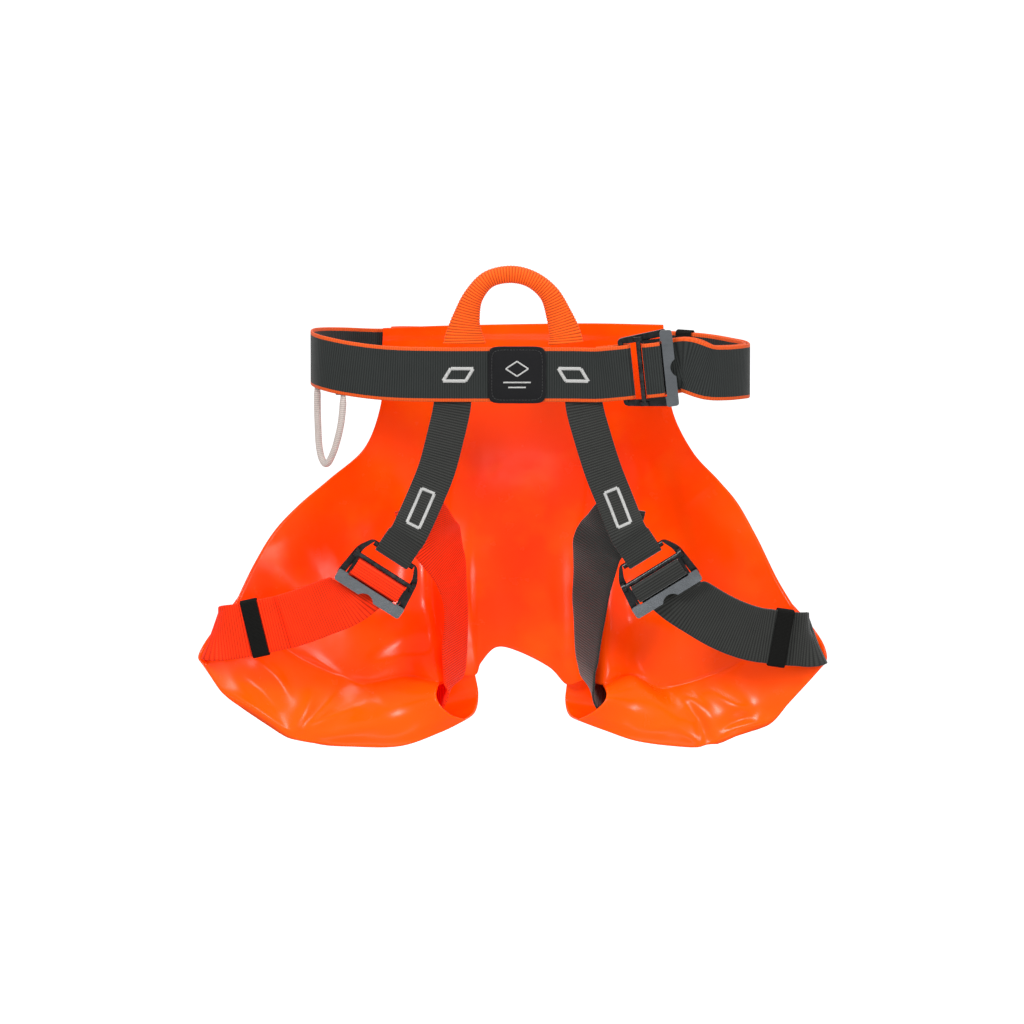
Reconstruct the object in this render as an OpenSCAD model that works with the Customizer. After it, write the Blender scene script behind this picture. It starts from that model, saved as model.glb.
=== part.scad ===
// Sit harness for rope descents: waist belt, seat sheet, two leg loops,
// slide buckles, tie-in loop and gear loop.
// X runs to the wearer's left, -Y is the front, +Z is up.
// The origin is the middle of the tie-in loop's inner top.

/* [Webbing] */
// Width of the belt and leg webbing
web_w = 44; // [42:0.5:44.5]
// Thickness of the belt and leg webbing
web_t = 1.8; // [1.2:0.1:1.8]
// Width of the riser webbing
riser_w = 30; // [26:1:31]
// Thickness of the riser webbing
riser_t = 1.6; // [1.2:0.1:1.6]

/* [Seat] */
// Thickness of the seat sheet
sheet_t = 1.2; // [0.8:0.1:1.4]
// Depth added to the middle of the seat
seat_bulge = 16; // [8:1:20]

/* [Buckles] */
// Thickness of the buckle plates
plate_t = 3; // [2.4:0.1:3]
// Diameter of the slider's tilt bar
tilt_d = 4; // [3.6:0.1:4]
// Radial clearance of the tilt bar in its frame
tilt_gap = 0.06; // [0.04:0.01:0.09]
// Diameter of the round bar that a sewn loop holds
loop_bar_d = 4.6; // [4:0.1:4.8]

/* [Tie-in loop] */
// Diameter of the tie-in loop at its top
tie_d = 14; // [12:0.5:15]

/* [Gear loop] */
// Diameter of the gear loop's tube
gear_d = 5.4; // [5:0.1:6]

/* [Keepers] */
// Width of an elastic keeper
keeper_w = 14; // [10:1:15]
// Gap between a keeper and the webbing inside it
keeper_gap = 0.7; // [0.6:0.1:0.9]

/* [Hidden] */

black = [0.04, 0.04, 0.045];
dark_grey = [0.22, 0.23, 0.23];
orange = [1, 0.32, 0.02];
red_orange = [0.95, 0.2, 0.03];
steel_grey = [0.42, 0.44, 0.46];
greige = [0.7, 0.65, 0.62];
thread_grey = [0.75, 0.75, 0.75];

// ---- curves and sweeps ----

function unit(v) = v / norm(v);
function head(p) = [p[0], p[1], p[2]];
function tail(p) = [p[3], p[4], p[5]];

// Point u of the way from p[i] to p[i + 1] on the smooth curve through p
function smooth_at(p, i, u) =
    let (n = len(p) - 1, a = p[max(i - 1, 0)], b = p[i], c = p[min(i + 1, n)], d = p[min(i + 2, n)])
    0.5 * (2 * b + (c - a) * u + (2 * a - 5 * b + 4 * c - d) * u * u + (3 * b - a - 3 * c + d) * u * u * u);

// Point at t, from 0 to 1, on the smooth curve through p
function on_curve(p, t) =
    let (n = len(p) - 1, f = min(t * n, n - 0.000001), i = floor(f))
    smooth_at(p, i, f - i);

// The smooth curve through p, with k steps between its points
function smooth(p, k) = concat(
    [for (i = [0 : len(p) - 2]) for (j = [0 : k - 1]) smooth_at(p, i, j / k)],
    [p[len(p) - 1]]
);

// Four boundary curves blended into a surface: left and right run down, top and bottom run across.
// A power over 1 keeps the bottom curve's detail near the bottom.
function patch_at(left, right, top, bottom, s, t, power = 1) =
    let (k = pow(t, power))
    (1 - s) * on_curve(left, t) + s * on_curve(right, t)
    + (1 - k) * on_curve(top, s) + k * on_curve(bottom, s)
    - (1 - s) * (1 - k) * top[0] - s * (1 - k) * top[len(top) - 1]
    - (1 - s) * k * bottom[0] - s * k * bottom[len(bottom) - 1];

// Rows of points joined into a closed skin of the given sides, with flat ends
module skin(rings) {
    n = len(rings[0]);
    m = len(rings);
    function id(i, j) = i * n + (j % n);
    sides = [for (i = [0 : m - 2]) for (j = [0 : n - 1]) each [
        [id(i, j), id(i, j + 1), id(i + 1, j + 1)],
        [id(i, j), id(i + 1, j + 1), id(i + 1, j)]
    ]];
    start = [for (j = [1 : n - 2]) [0, j + 1, j]];
    end = [for (j = [1 : n - 2]) [id(m - 1, 0), id(m - 1, j), id(m - 1, j + 1)]];
    polyhedron(points = [for (r = rings) each r], faces = concat(sides, start, end), convexity = 10);
}

// How fast a skewed end returns to square, per ring
skew_fade = 0.12;

function tangent(p, i) = unit(head(p[min(i + 1, len(p) - 1)]) - head(p[max(i - 1, 0)]));

// Flat webbing along points [x, y, z, wx, wy, wz], where w points across its width.
// A seventh number is the share of its full width that the webbing keeps there.
// The width stays square to the path, or follows w itself where an end's skew is 1.
module webbing(path, width, thick, skew = [0, 0], fade = skew_fade) {
    skin([for (i = [0 : len(path) - 1])
        let (
            c = head(path[i]),
            t = tangent(path, i),
            j = len(path) - 1 - i,
            k = min(1, max(0, 1 - i * fade) * skew[0] + max(0, 1 - j * fade) * skew[1]),
            g = unit(tail(path[i])),
            share = len(path[i]) > 6 ? path[i][6] : 1,
            w = unit(g - (1 - k) * (g * t) * t) * share * width / 2,
            n = unit(cross(t, w)) * thick / 2
        )
        [c + w + n, c + w - n, c - w - n, c - w + n]
    ]);
}

// Oval cord along points [x, y, z, half width, half depth], in a plane facing -Y
module oval_cord(path, sides) {
    skin([for (i = [0 : len(path) - 1])
        let (c = head(path[i]), t = tangent(path, i), w = unit(cross([0, 1, 0], t)))
        [for (j = [0 : sides - 1])
            c + w * path[i][3] * cos(360 * j / sides) - [0, 1, 0] * path[i][4] * sin(360 * j / sides)]
    ]);
}

// Round cord along points
module round_cord(path, d, sides, side_dir) {
    skin([for (i = [0 : len(path) - 1])
        let (t = tangent(path, i), a = unit(side_dir - (side_dir * t) * t), b = cross(t, a))
        [for (j = [0 : sides - 1])
            path[i] + (a * cos(360 * j / sides) - b * sin(360 * j / sides)) * d / 2]
    ]);
}

// A sheet from two grids of points, its front and its back
module sheet(front, back) {
    m = len(front);
    n = len(front[0]);
    f0 = m * n;
    function id(i, j) = i * n + j;
    front_faces = [for (i = [0 : m - 2]) for (j = [0 : n - 2]) each [
        [id(i, j), id(i, j + 1), id(i + 1, j + 1)], [id(i, j), id(i + 1, j + 1), id(i + 1, j)]]];
    back_faces = [for (f = front_faces) [f[0] + f0, f[2] + f0, f[1] + f0]];
    rim = concat(
        [for (j = [0 : n - 2]) [id(0, j), id(0, j + 1)]],
        [for (i = [0 : m - 2]) [id(i, n - 1), id(i + 1, n - 1)]],
        [for (j = [n - 1 : -1 : 1]) [id(m - 1, j), id(m - 1, j - 1)]],
        [for (i = [m - 1 : -1 : 1]) [id(i, 0), id(i - 1, 0)]]
    );
    rim_faces = [for (e = rim) each [[e[0], e[0] + f0, e[1] + f0], [e[0], e[1] + f0, e[1]]]];
    polyhedron(
        points = concat([for (r = front) each r], [for (r = back) each r]),
        faces = concat(front_faces, back_faces, rim_faces),
        convexity = 10
    );
}

// A grid's points moved along their own normals
function grid_normal(g, i, j) =
    let (
        m = len(g) - 1, n = len(g[0]) - 1,
        down = g[min(i + 1, m)][j] - g[max(i - 1, 0)][j],
        across = g[i][min(j + 1, n)] - g[i][max(j - 1, 0)]
    )
    unit(cross(down, across));
function moved(g, d) =
    [for (i = [0 : len(g) - 1]) [for (j = [0 : len(g[0]) - 1]) g[i][j] + d * grid_normal(g, i, j)]];

// ---- seat outline ----

seat_left = [
    [-104, 98, -50], [-105, 98, -83], [-106, 97, -113], [-119, 92, -147], [-147, 84, -171],
    [-172, 74, -191], [-192, 63, -211], [-208, 50, -236], [-222, 37, -264]
];
seat_right = [
    [122, 96, -47], [125, 97, -83], [130, 96, -119], [146, 88, -150], [166, 80, -171],
    [182, 72, -189], [198, 60, -216], [213, 46, -246], [227, 33, -268]
];
seat_top = [[-104, 98, -50], [-59, 104, -49], [0, 106, -48], [64, 104, -47], [122, 96, -47]];
// Weld lines of the two tunnels, from the hip to the mouth
weld_left = [
    [-222, 37, -264], [-182, 50, -304], [-147, 58, -324], [-118, 62, -334], [-84, 60, -328], [-58, 42, -330]
];
weld_right = [
    [227, 33, -268], [188, 48, -311], [152, 57, -330], [120, 61, -337], [94, 60, -328], [73, 42, -332]
];
crotch = [[-30, 76, -330], [-25, 78, -320], [-13, 80, -308], [4, 81, -311], [30, 79, -324], [45, 76, -338]];
seat_bottom = concat(
    weld_left, [[-46, 66, -329]], crotch, [[60, 66, -332]],
    [for (i = [len(weld_right) - 1 : -1 : 0]) weld_right[i]]
);
// Lower edges of the tunnels, from the tip to the mouth
fold_left = [
    [-247, 14, -311], [-233, 16, -333], [-214, 19, -346], [-197, 22, -358], [-178, 25, -372],
    [-158, 27, -376.5], [-134, 28, -379.5], [-91, 30, -380], [-58, 32, -369], [-38, 32, -359]
];
fold_right = [
    [250, 14, -311], [238, 16, -325], [222, 18, -343], [209, 21, -358], [190, 23, -366],
    [159, 26, -378], [140, 28, -380], [102, 30, -376], [74, 32, -367], [53, 32, -359]
];
tip_left = [[-222, 37, -264], [-230, 28, -284], [-238, 20, -299], [-247, 14, -311]];
tip_right = [[227, 33, -268], [235, 26, -284], [242, 19, -298], [250, 14, -311]];
mouth_left = [[-58, 42, -330], [-61, 26, -337], [-58, 21, -345], [-49, 24, -354], [-38, 32, -359]];
mouth_right = [[73, 42, -332], [76, 26, -337], [73, 21, -344], [63, 24, -353], [53, 32, -359]];
// Back layers of the tunnels
back_weld_left = [
    [-222, 40, -264], [-182, 53, -304], [-147, 61, -325], [-118, 66, -336], [-84, 70, -333], [-56, 76, -333], [-30, 79, -332]
];
back_weld_right = [
    [227, 36, -268], [188, 51, -311], [152, 60, -331], [120, 65, -339], [94, 69, -334], [68, 76, -337], [45, 79, -340]
];
back_tip_left = [[-222, 40, -264], [-236, 37, -280], [-247, 29, -293], [-252, 20, -304], [-247, 14, -311]];
back_tip_right = [[227, 36, -268], [240, 35, -280], [250, 28, -293], [253, 20, -304], [250, 14, -311]];
back_mouth_left = [[-30, 79, -332], [-27, 72, -344], [-30, 52, -354], [-38, 32, -359]];
back_mouth_right = [[45, 79, -340], [43, 70, -349], [46, 51, -356], [53, 32, -359]];

// Gap that keeps the tunnels clear of the seat sheet
weld_gap = 1.4;
// How far down the seat its bulge starts, below the belt
bulge_start = 0.2;

function seat_at(s, t) =
    patch_at(seat_left, seat_right, seat_top, seat_bottom, s, t, 2)
    + [0, seat_bulge * sin(180 * s) * pow(sin(180 * max(0, t - bulge_start) / (1 - bulge_start)), 2), 0];

seat_rows = 22;
seat_columns = 44;
module seat_sheet() {
    front = [for (i = [0 : seat_rows]) [for (j = [0 : seat_columns]) seat_at(j / seat_columns, i / seat_rows)]];
    color(orange)
    sheet(moved(front, sheet_t / 2), moved(front, -sheet_t / 2));
}

tunnel_rows = 6;
tunnel_columns = 26;
tunnel_bulge = 12;
// The front layer runs down to the fold and the back layer runs up again behind it
module seat_tunnel(tip, mouth, weld, fold, back_tip, back_mouth, back_weld) {
    drop = [0, 0, -weld_gap];
    front = [for (i = [0 : tunnel_rows]) let (t = i / tunnel_rows)
        [for (j = [0 : tunnel_columns]) let (s = j / tunnel_columns)
            patch_at(tip, mouth, weld, fold, s, t) + (1 - t) * drop]];
    back = [for (i = [tunnel_rows - 1 : -1 : 0]) let (t = i / tunnel_rows)
        [for (j = [0 : tunnel_columns]) let (s = j / tunnel_columns)
            patch_at(back_tip, back_mouth, back_weld, fold, s, t)
            + [0, tunnel_bulge * sin(180 * t), -0.4 * tunnel_bulge * sin(180 * t)] + (1 - t) * drop]];
    rows = concat(front, back);
    color(orange)
    sheet(moved(rows, sheet_t / 2), moved(rows, -sheet_t / 2));
}
module seat_tunnel_left()
    seat_tunnel(tip_left, mouth_left, weld_left, fold_left, back_tip_left, back_mouth_left, back_weld_left);
module seat_tunnel_right()
    mirror([1, 0, 0])
    seat_tunnel(
        flip(tip_right), flip(mouth_right), flip(weld_right), flip(fold_right),
        flip(back_tip_right), flip(back_mouth_right), flip(back_weld_right)
    );
function flip(p) = [for (q = p) [-q[0], q[1], q[2]]];

// ---- buckle frames of reference: origin and turn about Y ----

waist_at = [105, -6, -69];
waist_turn = 6;
left_at = [-103, -24, -229];
left_turn = 237;
right_at = [113, -24, -229];
right_turn = -58;

// A point u along the webbing, v across it and n out of the front, in the harness frame
function local(at, turn, u, n, v = 0) =
    at + [u * cos(turn) - v * sin(turn), -n, u * sin(turn) + v * cos(turn)];
// The same with the webbing's width direction
function local_web(at, turn, u, n, v = 0) =
    concat(local(at, turn, u, n, v), [-sin(turn), 0, cos(turn)]);
function with_web(p, turn, side) = concat(p, side * [-sin(turn), 0, cos(turn)]);
module placed(at, turn) translate(at) rotate([0, -turn, 0]) rotate([90, 0, 0]) children();

// Along the webbing: sewn bar, tilt bar, wrapped bar, lip
sewn_u = -16;
tilt_u = -2;
tilt_n = 4.8;
wrap_u0 = 3;
wrap_u1 = 12;
lip_u0 = 16.5;
lip_u1 = 25.5;
frame_u1 = 21.5;
lip_n = 3.6;
slot_u = 14.2;
arm_half = web_w / 2 + 0.6;
arm_w = 2;
ear_half = arm_half + arm_w + 0.3;

// Corners rounded off over a distance r
function rounded(corners, r) = [for (i = [0 : len(corners) - 1])
    let (
        n = len(corners), c = corners[i],
        a = c + r * unit(corners[(i + n - 1) % n] - c),
        b = c + r * unit(corners[(i + 1) % n] - c)
    )
    for (k = [0 : 0.2 : 1]) (1 - k) * (1 - k) * a + 2 * k * (1 - k) * c + k * k * b];
// Corners [u, half height] on one side, with their mirror images on the other
function both_sides(half) = concat(
    [for (q = half) [q[0], -q[1]]],
    [for (i = [len(half) - 1 : -1 : 0]) half[i]]
);

frame_half = 31.5;
neck_u = -7;
neck_half = 28.4;
ear_t = 3;
// Frame of a slide buckle: half height h0 at its sewn bar
module buckle_frame(h0) {
    translate([0, 0, -plate_t / 2])
    linear_extrude(plate_t)
    difference() {
        polygon(rounded(both_sides([[sewn_u - 2.5, h0], [neck_u, neck_half], [frame_u1, frame_half]]), 4));
        polygon(rounded(both_sides([
            [sewn_u - 5, h0 - 4], [neck_u - 1, web_w / 2 + 0.8], [frame_u1 - 4, frame_half - 6]
        ]), 2));
    }
    translate([sewn_u, 0, 0])
    rotate([90, 0, 0])
    cylinder(h = 2 * h0 - 5, d = loop_bar_d, center = true, $fn = 32);
    for (k = [-1, 1])
        translate([tilt_u, k * (ear_half + ear_t / 2), 0])
        rotate([90, 0, 0])
        translate([0, 0, -ear_t / 2])
        linear_extrude(ear_t)
        difference() {
            union() {
                translate([0, tilt_n])
                circle(d = tilt_d + 4, $fn = 32);
                translate([-tilt_d / 2 - 2, -plate_t / 2])
                square([tilt_d + 4, tilt_n + plate_t / 2]);
            }
            translate([0, tilt_n])
            circle(d = tilt_d + 2 * tilt_gap, $fn = 32);
        }
}

lip_half = 31;
lip_t = 2.4;
notch_r = 8;
// Slider of a slide buckle: tilt bar, wrapped bar and lip with a thumb notch
module buckle_slider() {
    translate([tilt_u, 0, tilt_n])
    rotate([90, 0, 0])
    cylinder(h = 2 * ear_half + 2 * ear_t - 0.4, d = tilt_d, center = true, $fn = 32);
    translate([0, 0, lip_n])
    linear_extrude(lip_t)
    difference() {
        union() {
            polygon(rounded(both_sides([[lip_u0 - 1, lip_half], [lip_u1, lip_half - 0.5]]), 2.5));
            translate([tilt_u, -arm_half - arm_w])
            square([lip_u0 - tilt_u, 2 * (arm_half + arm_w)]);
        }
        translate([tilt_u - 1, -arm_half])
        square([wrap_u0 - tilt_u + 1, 2 * arm_half]);
        translate([wrap_u1, -arm_half])
        square([lip_u0 - wrap_u1, 2 * arm_half]);
        translate([lip_u1 + 4, 0])
        circle(r = notch_r, $fn = 48);
    }
}

// Webbing wrapped over the slider's bar, from wrap_low up and over with a small clearance
wrap_low = 2.4;
wrap_clear = 0.45;
module buckle_wrap(at, turn) {
    top = lip_n + lip_t + wrap_clear + web_t / 2;
    webbing(smooth([for (q = [
        [slot_u, wrap_low], [slot_u, lip_n + 1], [slot_u - 0.6, top - 0.9], [wrap_u1 - 1, top],
        [7.5, top], [wrap_u0 + 1, top], [wrap_u0 - 1.2, top - 0.9], [wrap_u0 - 1.7, lip_n + 1],
        [wrap_u0 - 1.7, wrap_low]
    ]) local_web(at, turn, q[0], q[1])], 4), web_w, web_t);
}

module waist_buckle_frame() color(black) placed(waist_at, waist_turn) buckle_frame(27);
module waist_buckle_slider() color(steel_grey) placed(waist_at, waist_turn) buckle_slider();
module waist_wrap() color(dark_grey) buckle_wrap(waist_at, waist_turn);
module leg_buckle_frame_left() color(black) placed(left_at, left_turn) buckle_frame(21);
module leg_buckle_frame_right() color(black) placed(right_at, right_turn) buckle_frame(21);
module leg_buckle_slider_left() color(steel_grey) placed(left_at, left_turn) buckle_slider();
module leg_buckle_slider_right() color(steel_grey) placed(right_at, right_turn) buckle_slider();
module leg_wrap_left() color(red_orange) buckle_wrap(left_at, left_turn);
module leg_wrap_right() color(dark_grey) buckle_wrap(right_at, right_turn);

// ---- waist belt ----

up = [0, 0, 1];
// From the sewn bar round the waist to the right of the buckle
belt_path = concat(
    [for (q = [[-36, -3.4], [-24, -3.8], [-16, -3.8], [-11, -3], [-9.4, 0], [-11, 3], [-16, 3.8], [-24, 3.2], [-38, 0.4]])
        local_web(waist_at, waist_turn, q[0], q[1])],
    [for (q = [
        [45, -4.4, -73], [0, -4, -73], [-60, -4, -73], [-100, -3, -72], [-130, 1, -69], [-150, 10, -66],
        [-159, 25, -65], [-160, 44, -65], [-153, 66, -67], [-137, 87, -70], [-113, 102, -73], [-85, 109, -74],
        [-40, 111, -75], [0, 112, -75], [64, 111, -74], [100, 109, -74], [115, 106, -75], [127, 100, -75],
        [139, 94, -75], [151, 88, -75], [163, 80, -75.5], [174, 69, -76], [184, 54, -76], [187, 40, -76],
        [183, 28, -75], [170, 15, -74], [156, 5, -72]
    ]) concat(q, up)],
    [for (q = [[36, -6], [24, -6.4], [12, -6.4], [4, -6], [1.4, -3], [1.3, 0], [1.3, 1.8]])
        local_web(waist_at, waist_turn, q[0], q[1])]
);
module waist_belt() color(dark_grey) webbing(smooth(belt_path, 4), web_w, web_t);

// From the slider round the right fold, outside the belt, to the keeper
tail_path = concat(
    [for (q = [[slot_u, 1.8], [slot_u, 0], [slot_u + 1.4, -2.6], [18.5, -3.2], [26, -3.2], [34, -3.2]])
        local_web(waist_at, waist_turn, q[0], q[1])],
    [for (q = [
        [157, 1, -72], [172.6, 11, -74], [185.8, 26, -75], [190, 40, -76], [187, 55.6, -76],
        [176.4, 71.2, -76], [165, 82.4, -75.5], [152.2, 90.4, -75], [140.2, 96.4, -75], [128.2, 102.4, -75]
    ]) concat(q, up)]
);
module waist_tail() color(dark_grey) webbing(smooth(tail_path, 4), web_w, web_t);

// Channel of sheet that holds the belt at the back
sleeve_path = [
    for (q = [[-97, 110, -76], [-85, 112, -76], [-40, 114.4, -77], [0, 115.4, -77], [64, 114.4, -76], [96, 112.6, -76]])
    concat(q, up)
];
sleeve_w = 56;
module belt_sleeve() color(orange) webbing(smooth(sleeve_path, 4), sleeve_w, sheet_t);

label_size = 46;
module label_patch() {
    color(black)
    translate([4, -5.4, -73])
    rotate([90, 0, 0])
    linear_extrude(1.2)
    polygon(rounded(both_sides([[-label_size / 2, label_size / 2], [label_size / 2, label_size / 2]]), 6));
}

// One tack: a slanted ring of stitches
module tack(w, h) {
    for (q = [[-w / 2, 0, 1.6, h], [w / 2, 0, 1.6, h], [0, h / 2, w - 3, 1.6], [0, -h / 2, w - 3, 1.6]])
        translate([q[0] - q[2] / 2, q[1] - q[3] / 2 + 0.4 * sign(q[1])])
        square([q[2], q[3] - 1]);
}
module belt_bar_tacks() {
    color(thread_grey)
    for (q = [[-43, -5.1], [49, -6.7]])
        translate([q[0], q[1], -72])
        rotate([90, 0, 0])
        linear_extrude(0.7)
        tack(22, 13);
}

// ---- tie-in loop ----

tie_path = [
    [-38, 0, -48.5, 17, 1.9], [-38, 0, -40, 14.5, 2.6], [-36.5, 0, -28, 11, 4.2], [-31, 0, -11, 8, 5.6],
    [-19, 0, 3, 7, 6], [-1, 0, 7.2, tie_d / 2, 6], [16, 0, 3, 7, 6], [30, 0, -9, 8, 5.6],
    [38, 0, -27, 10.5, 4.2], [42, 0, -40, 12.5, 2.6], [43, 0, -48.5, 14, 1.9]
];
module tie_in_loop() color(orange) oval_cord(smooth(tie_path, 5), 12);

tab_y = -1.6;
module tie_in_tab(x, w)
    webbing([[x, tab_y, -52, 1, 0, 0], [x, tab_y, -70, 1, 0, 0], [x, tab_y, -92, 1, 0, 0]], w, web_t);
module tie_in_tab_left() color(orange) tie_in_tab(-38, 34);
module tie_in_tab_right() color(orange) tie_in_tab(43, 28);

// ---- gear loop ----

gear_a = [-135, 6, -95];
gear_b = [-156, 34, -91];
function gear_at(along, drop) = gear_a + (gear_b - gear_a) * along + [0, 0, -drop];
gear_path = [for (q = [
    [0, 0], [0.04, 12], [0.13, 25], [0.3, 40], [0.46, 50], [0.6, 56], [0.74, 57], [0.87, 52],
    [0.95, 42], [0.98, 28], [1, 14], [1, 0]
]) gear_at(q[0], q[1])];
module gear_loop() {
    color(greige)
    round_cord(smooth(gear_path, 4), gear_d, 10, unit(cross(gear_b - gear_a, up)));
}
module gear_loop_tabs() {
    color(dark_grey)
    for (p = [[gear_a, 20], [gear_b, 84]])
        translate(p[0] + [0, 0, 4])
        rotate([0, 0, -p[1]])
        translate([-6, -0.8, 0])
        cube([12, 1.6, 20]);
}

// ---- risers ----

// The end folded round the buckle's sewn bar, from front to back
function riser_end(at, turn) = [for (q = [
    [-40, 5.2], [-30, 4.2], [-22, 3.9], [sewn_u, 3.8], [sewn_u + 2.9, 2.6], [sewn_u + 3.9, 0],
    [sewn_u + 2.9, -2.6], [sewn_u, -3.8], [-22, -3.4], [-32, -1.4]
]) local_web(at, turn, q[0], q[1])];
left_riser_path = concat(
    [for (q = [[-47, 1.6, -72], [-47, 1.5, -84], [-48, -1.5, -100], [-53, -7, -122], [-60, -12, -148], [-69, -17, -170]])
        concat(q, [1, 0, 0])],
    riser_end(left_at, left_turn)
);
right_riser_path = concat(
    [for (q = [[57, 1.6, -72], [57, 1.5, -84], [58, -1.5, -100], [64, -7, -122], [73, -12, -150], [82, -17, -172]])
        concat(q, [1, 0, 0])],
    riser_end(right_at, right_turn)
);
module riser_left() color(dark_grey) webbing(smooth(left_riser_path, 4), riser_w, riser_t);
module riser_right() color(dark_grey) webbing(smooth(right_riser_path, 4), riser_w, riser_t);

module riser_bar_tacks() {
    color(thread_grey)
    for (q = [[[-72, -21.3, -176], 64], [[86, -21.3, -178], 118]])
        translate(q[0])
        rotate([0, -q[1], 0])
        rotate([90, 0, 0])
        rotate([0, 19, 0])
        linear_extrude(0.7)
        tack(30, 12);
}

// ---- leg webbing ----

// Layers of leg webbing behind a buckle, and how far they drift sideways per mm
front_n = -3;
back_n = -5.6;
left_drift = -0.6;
right_drift = 0.4;
// Where the leg webbing is joined to the stretch that its buckle carries
join_u = 28;

// How far down a tunnel the middle of its webbing lies
web_level = 0.45;
// Share of its width that the webbing keeps in a tunnel, where it is cupped
tunnel_share = 0.86;
// Middle of the space in a tunnel at s, with the direction from its fold to its weld
function tunnel_web(tip, mouth, weld, fold, back_tip, back_mouth, back_weld, s) =
    let (
        at = function (t)
            (patch_at(tip, mouth, weld, fold, s, t) + patch_at(back_tip, back_mouth, back_weld, fold, s, t)) / 2
            + [0, 0.5, -0.2] * tunnel_bulge * sin(180 * t),
        c = at(web_level)
    )
    concat(c, at(0.15) - at(0.85));

// The leg webbing from behind the riser, through the tunnel and round the tip to the buckle.
tunnel_stations = [0.86, 0.76, 0.64, 0.52, 0.4, 0.28, 0.16, 0.06];
function leg_path(inner, tunnel, outer) = concat(
    [for (q = inner) concat(q, 1)],
    [for (q = tunnel) concat(q, tunnel_share)],
    [for (q = outer) concat(q, 1)]
);
left_leg_path = leg_path(
    [
        [-74, -8, -180, 0.87, 0, -0.5], [-67, -1, -197, 0.8, 0.3, -0.4], [-58, 11, -213, 0.7, 0.6, -0.3],
        [-52, 20, -227, 0.6, 0.8, -0.2], [-48, 27, -240, 0.5, 0.86, 0], [-46, 33, -254, 0.4, 0.9, 0],
        [-45, 38, -273, 0.4, 0.9, 0.1], [-46, 42, -297, 0.45, 0.88, 0.1], [-46, 45, -317, 0.4, 0.9, 0.1],
        [-47, 47, -331, 0.35, 0.92, 0.2], [-54, 48, -341, 0.15, 0.9, 0.4]
    ],
    [for (s = tunnel_stations)
        let (q = tunnel_web(
            tip_left, mouth_left, weld_left, fold_left, back_tip_left, back_mouth_left, back_weld_left, s
        )) concat(head(q), unit(tail(q)))],
    [
        [-240, 20, -287, 0.33, 0.25, 0.91], [-238.5, 12, -286, 0.33, 0.25, 0.91], [-229, 6, -283.5, 0.1, 0.1, 1],
        [-214, 3, -281, 0, 0, 1], [-198, 0, -277, 0, 0, 1], [-182, -3, -273, -0.1, 0, 1],
        [-166, -8, -267, -0.2, 0, 1], [-150, -13, -260, -0.35, 0, 0.94], [-138, -16.5, -255, -0.5, 0, 0.87],
        with_web(local(left_at, left_turn, join_u, back_n, (join_u - slot_u) * left_drift), left_turn, -1)
    ]
);
right_leg_path = leg_path(
    [
        [87, -8, -180, -0.87, 0, -0.5], [80, -1, -196, -0.8, 0.3, -0.4], [69, 10, -213, -0.75, 0.55, -0.3],
        [66, 19, -229, -0.7, 0.7, -0.2], [64, 27, -246, -0.65, 0.76, 0], [62, 33, -266, -0.6, 0.8, 0],
        [61, 38, -285, -0.5, 0.86, 0.1], [60, 42, -308, -0.4, 0.9, 0.1], [60, 43, -320, -0.3, 0.92, 0.2],
        [62, 44, -333, -0.25, 0.92, 0.3], [69, 46, -343, -0.12, 0.88, 0.45]
    ],
    [for (s = tunnel_stations)
        let (q = tunnel_web(
            tip_right, mouth_right, weld_right, fold_right, back_tip_right, back_mouth_right, back_weld_right, s
        )) concat(head(q), unit(tail(q)))],
    [
        [243, 20, -290.5, -0.33, 0.25, 0.91], [241.5, 12, -290.5, -0.33, 0.25, 0.91], [233, 6, -289, 0.1, 0.05, 1],
        [222, 3, -288, 0.2, 0, 1], [208, 0, -285.5, 0.2, 0, 1], [194, -3, -283, 0.2, 0, 1],
        [178, -8, -277, 0.2, 0, 1], [163, -13, -269, 0.35, 0, 0.94], [149, -16.5, -260, 0.5, 0, 0.87],
        with_web(local(right_at, right_turn, join_u, back_n, (join_u - slot_u) * right_drift), right_turn, 1)
    ]
);
module leg_strap_left() color(red_orange) webbing(smooth(left_leg_path, 3), web_w, web_t, [0, 1]);
module leg_strap_right() color(dark_grey) webbing(smooth(right_leg_path, 3), web_w, web_t, [0, 1]);

// Loose ends, in front of the leg webbing: the path's last points, moved forward and taken backward
function loose_end(path, count) = [for (i = [0 : count - 1])
    path[len(path) - 1 - i] + [0, back_n - front_n, 0, 0, 0, 0, 0]];
module leg_tail_left() color(red_orange) webbing(smooth(loose_end(left_leg_path, 5), 3), web_w, web_t, [1, 0]);
module leg_tail_right() color(dark_grey) webbing(smooth(loose_end(right_leg_path, 7), 3), web_w, web_t, [1, 0]);

// The stretches of both layers that a leg buckle carries
module buckle_web(at, turn, drift) {
    gap = 0.8;
    for (q = [
        [[slot_u, 1.8], [slot_u, -0.6], [16, front_n + 0.4], [20, front_n], [24, front_n], [join_u - gap, front_n]],
        [[1.3, 1.8], [1.3, -3], [3.6, back_n + 0.4], [12, back_n], [20, back_n], [join_u - gap, back_n]]
    ])
        webbing(
            smooth([for (p = q) local_web(at, turn, p[0], p[1], max(0, p[0] - slot_u) * drift)], 3),
            web_w, web_t, [0, 1], 0
        );
}
module buckle_web_left() color(red_orange) buckle_web(left_at, left_turn, left_drift);
module buckle_web_right() color(dark_grey) buckle_web(right_at, right_turn, right_drift);

// ---- keepers ----

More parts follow.
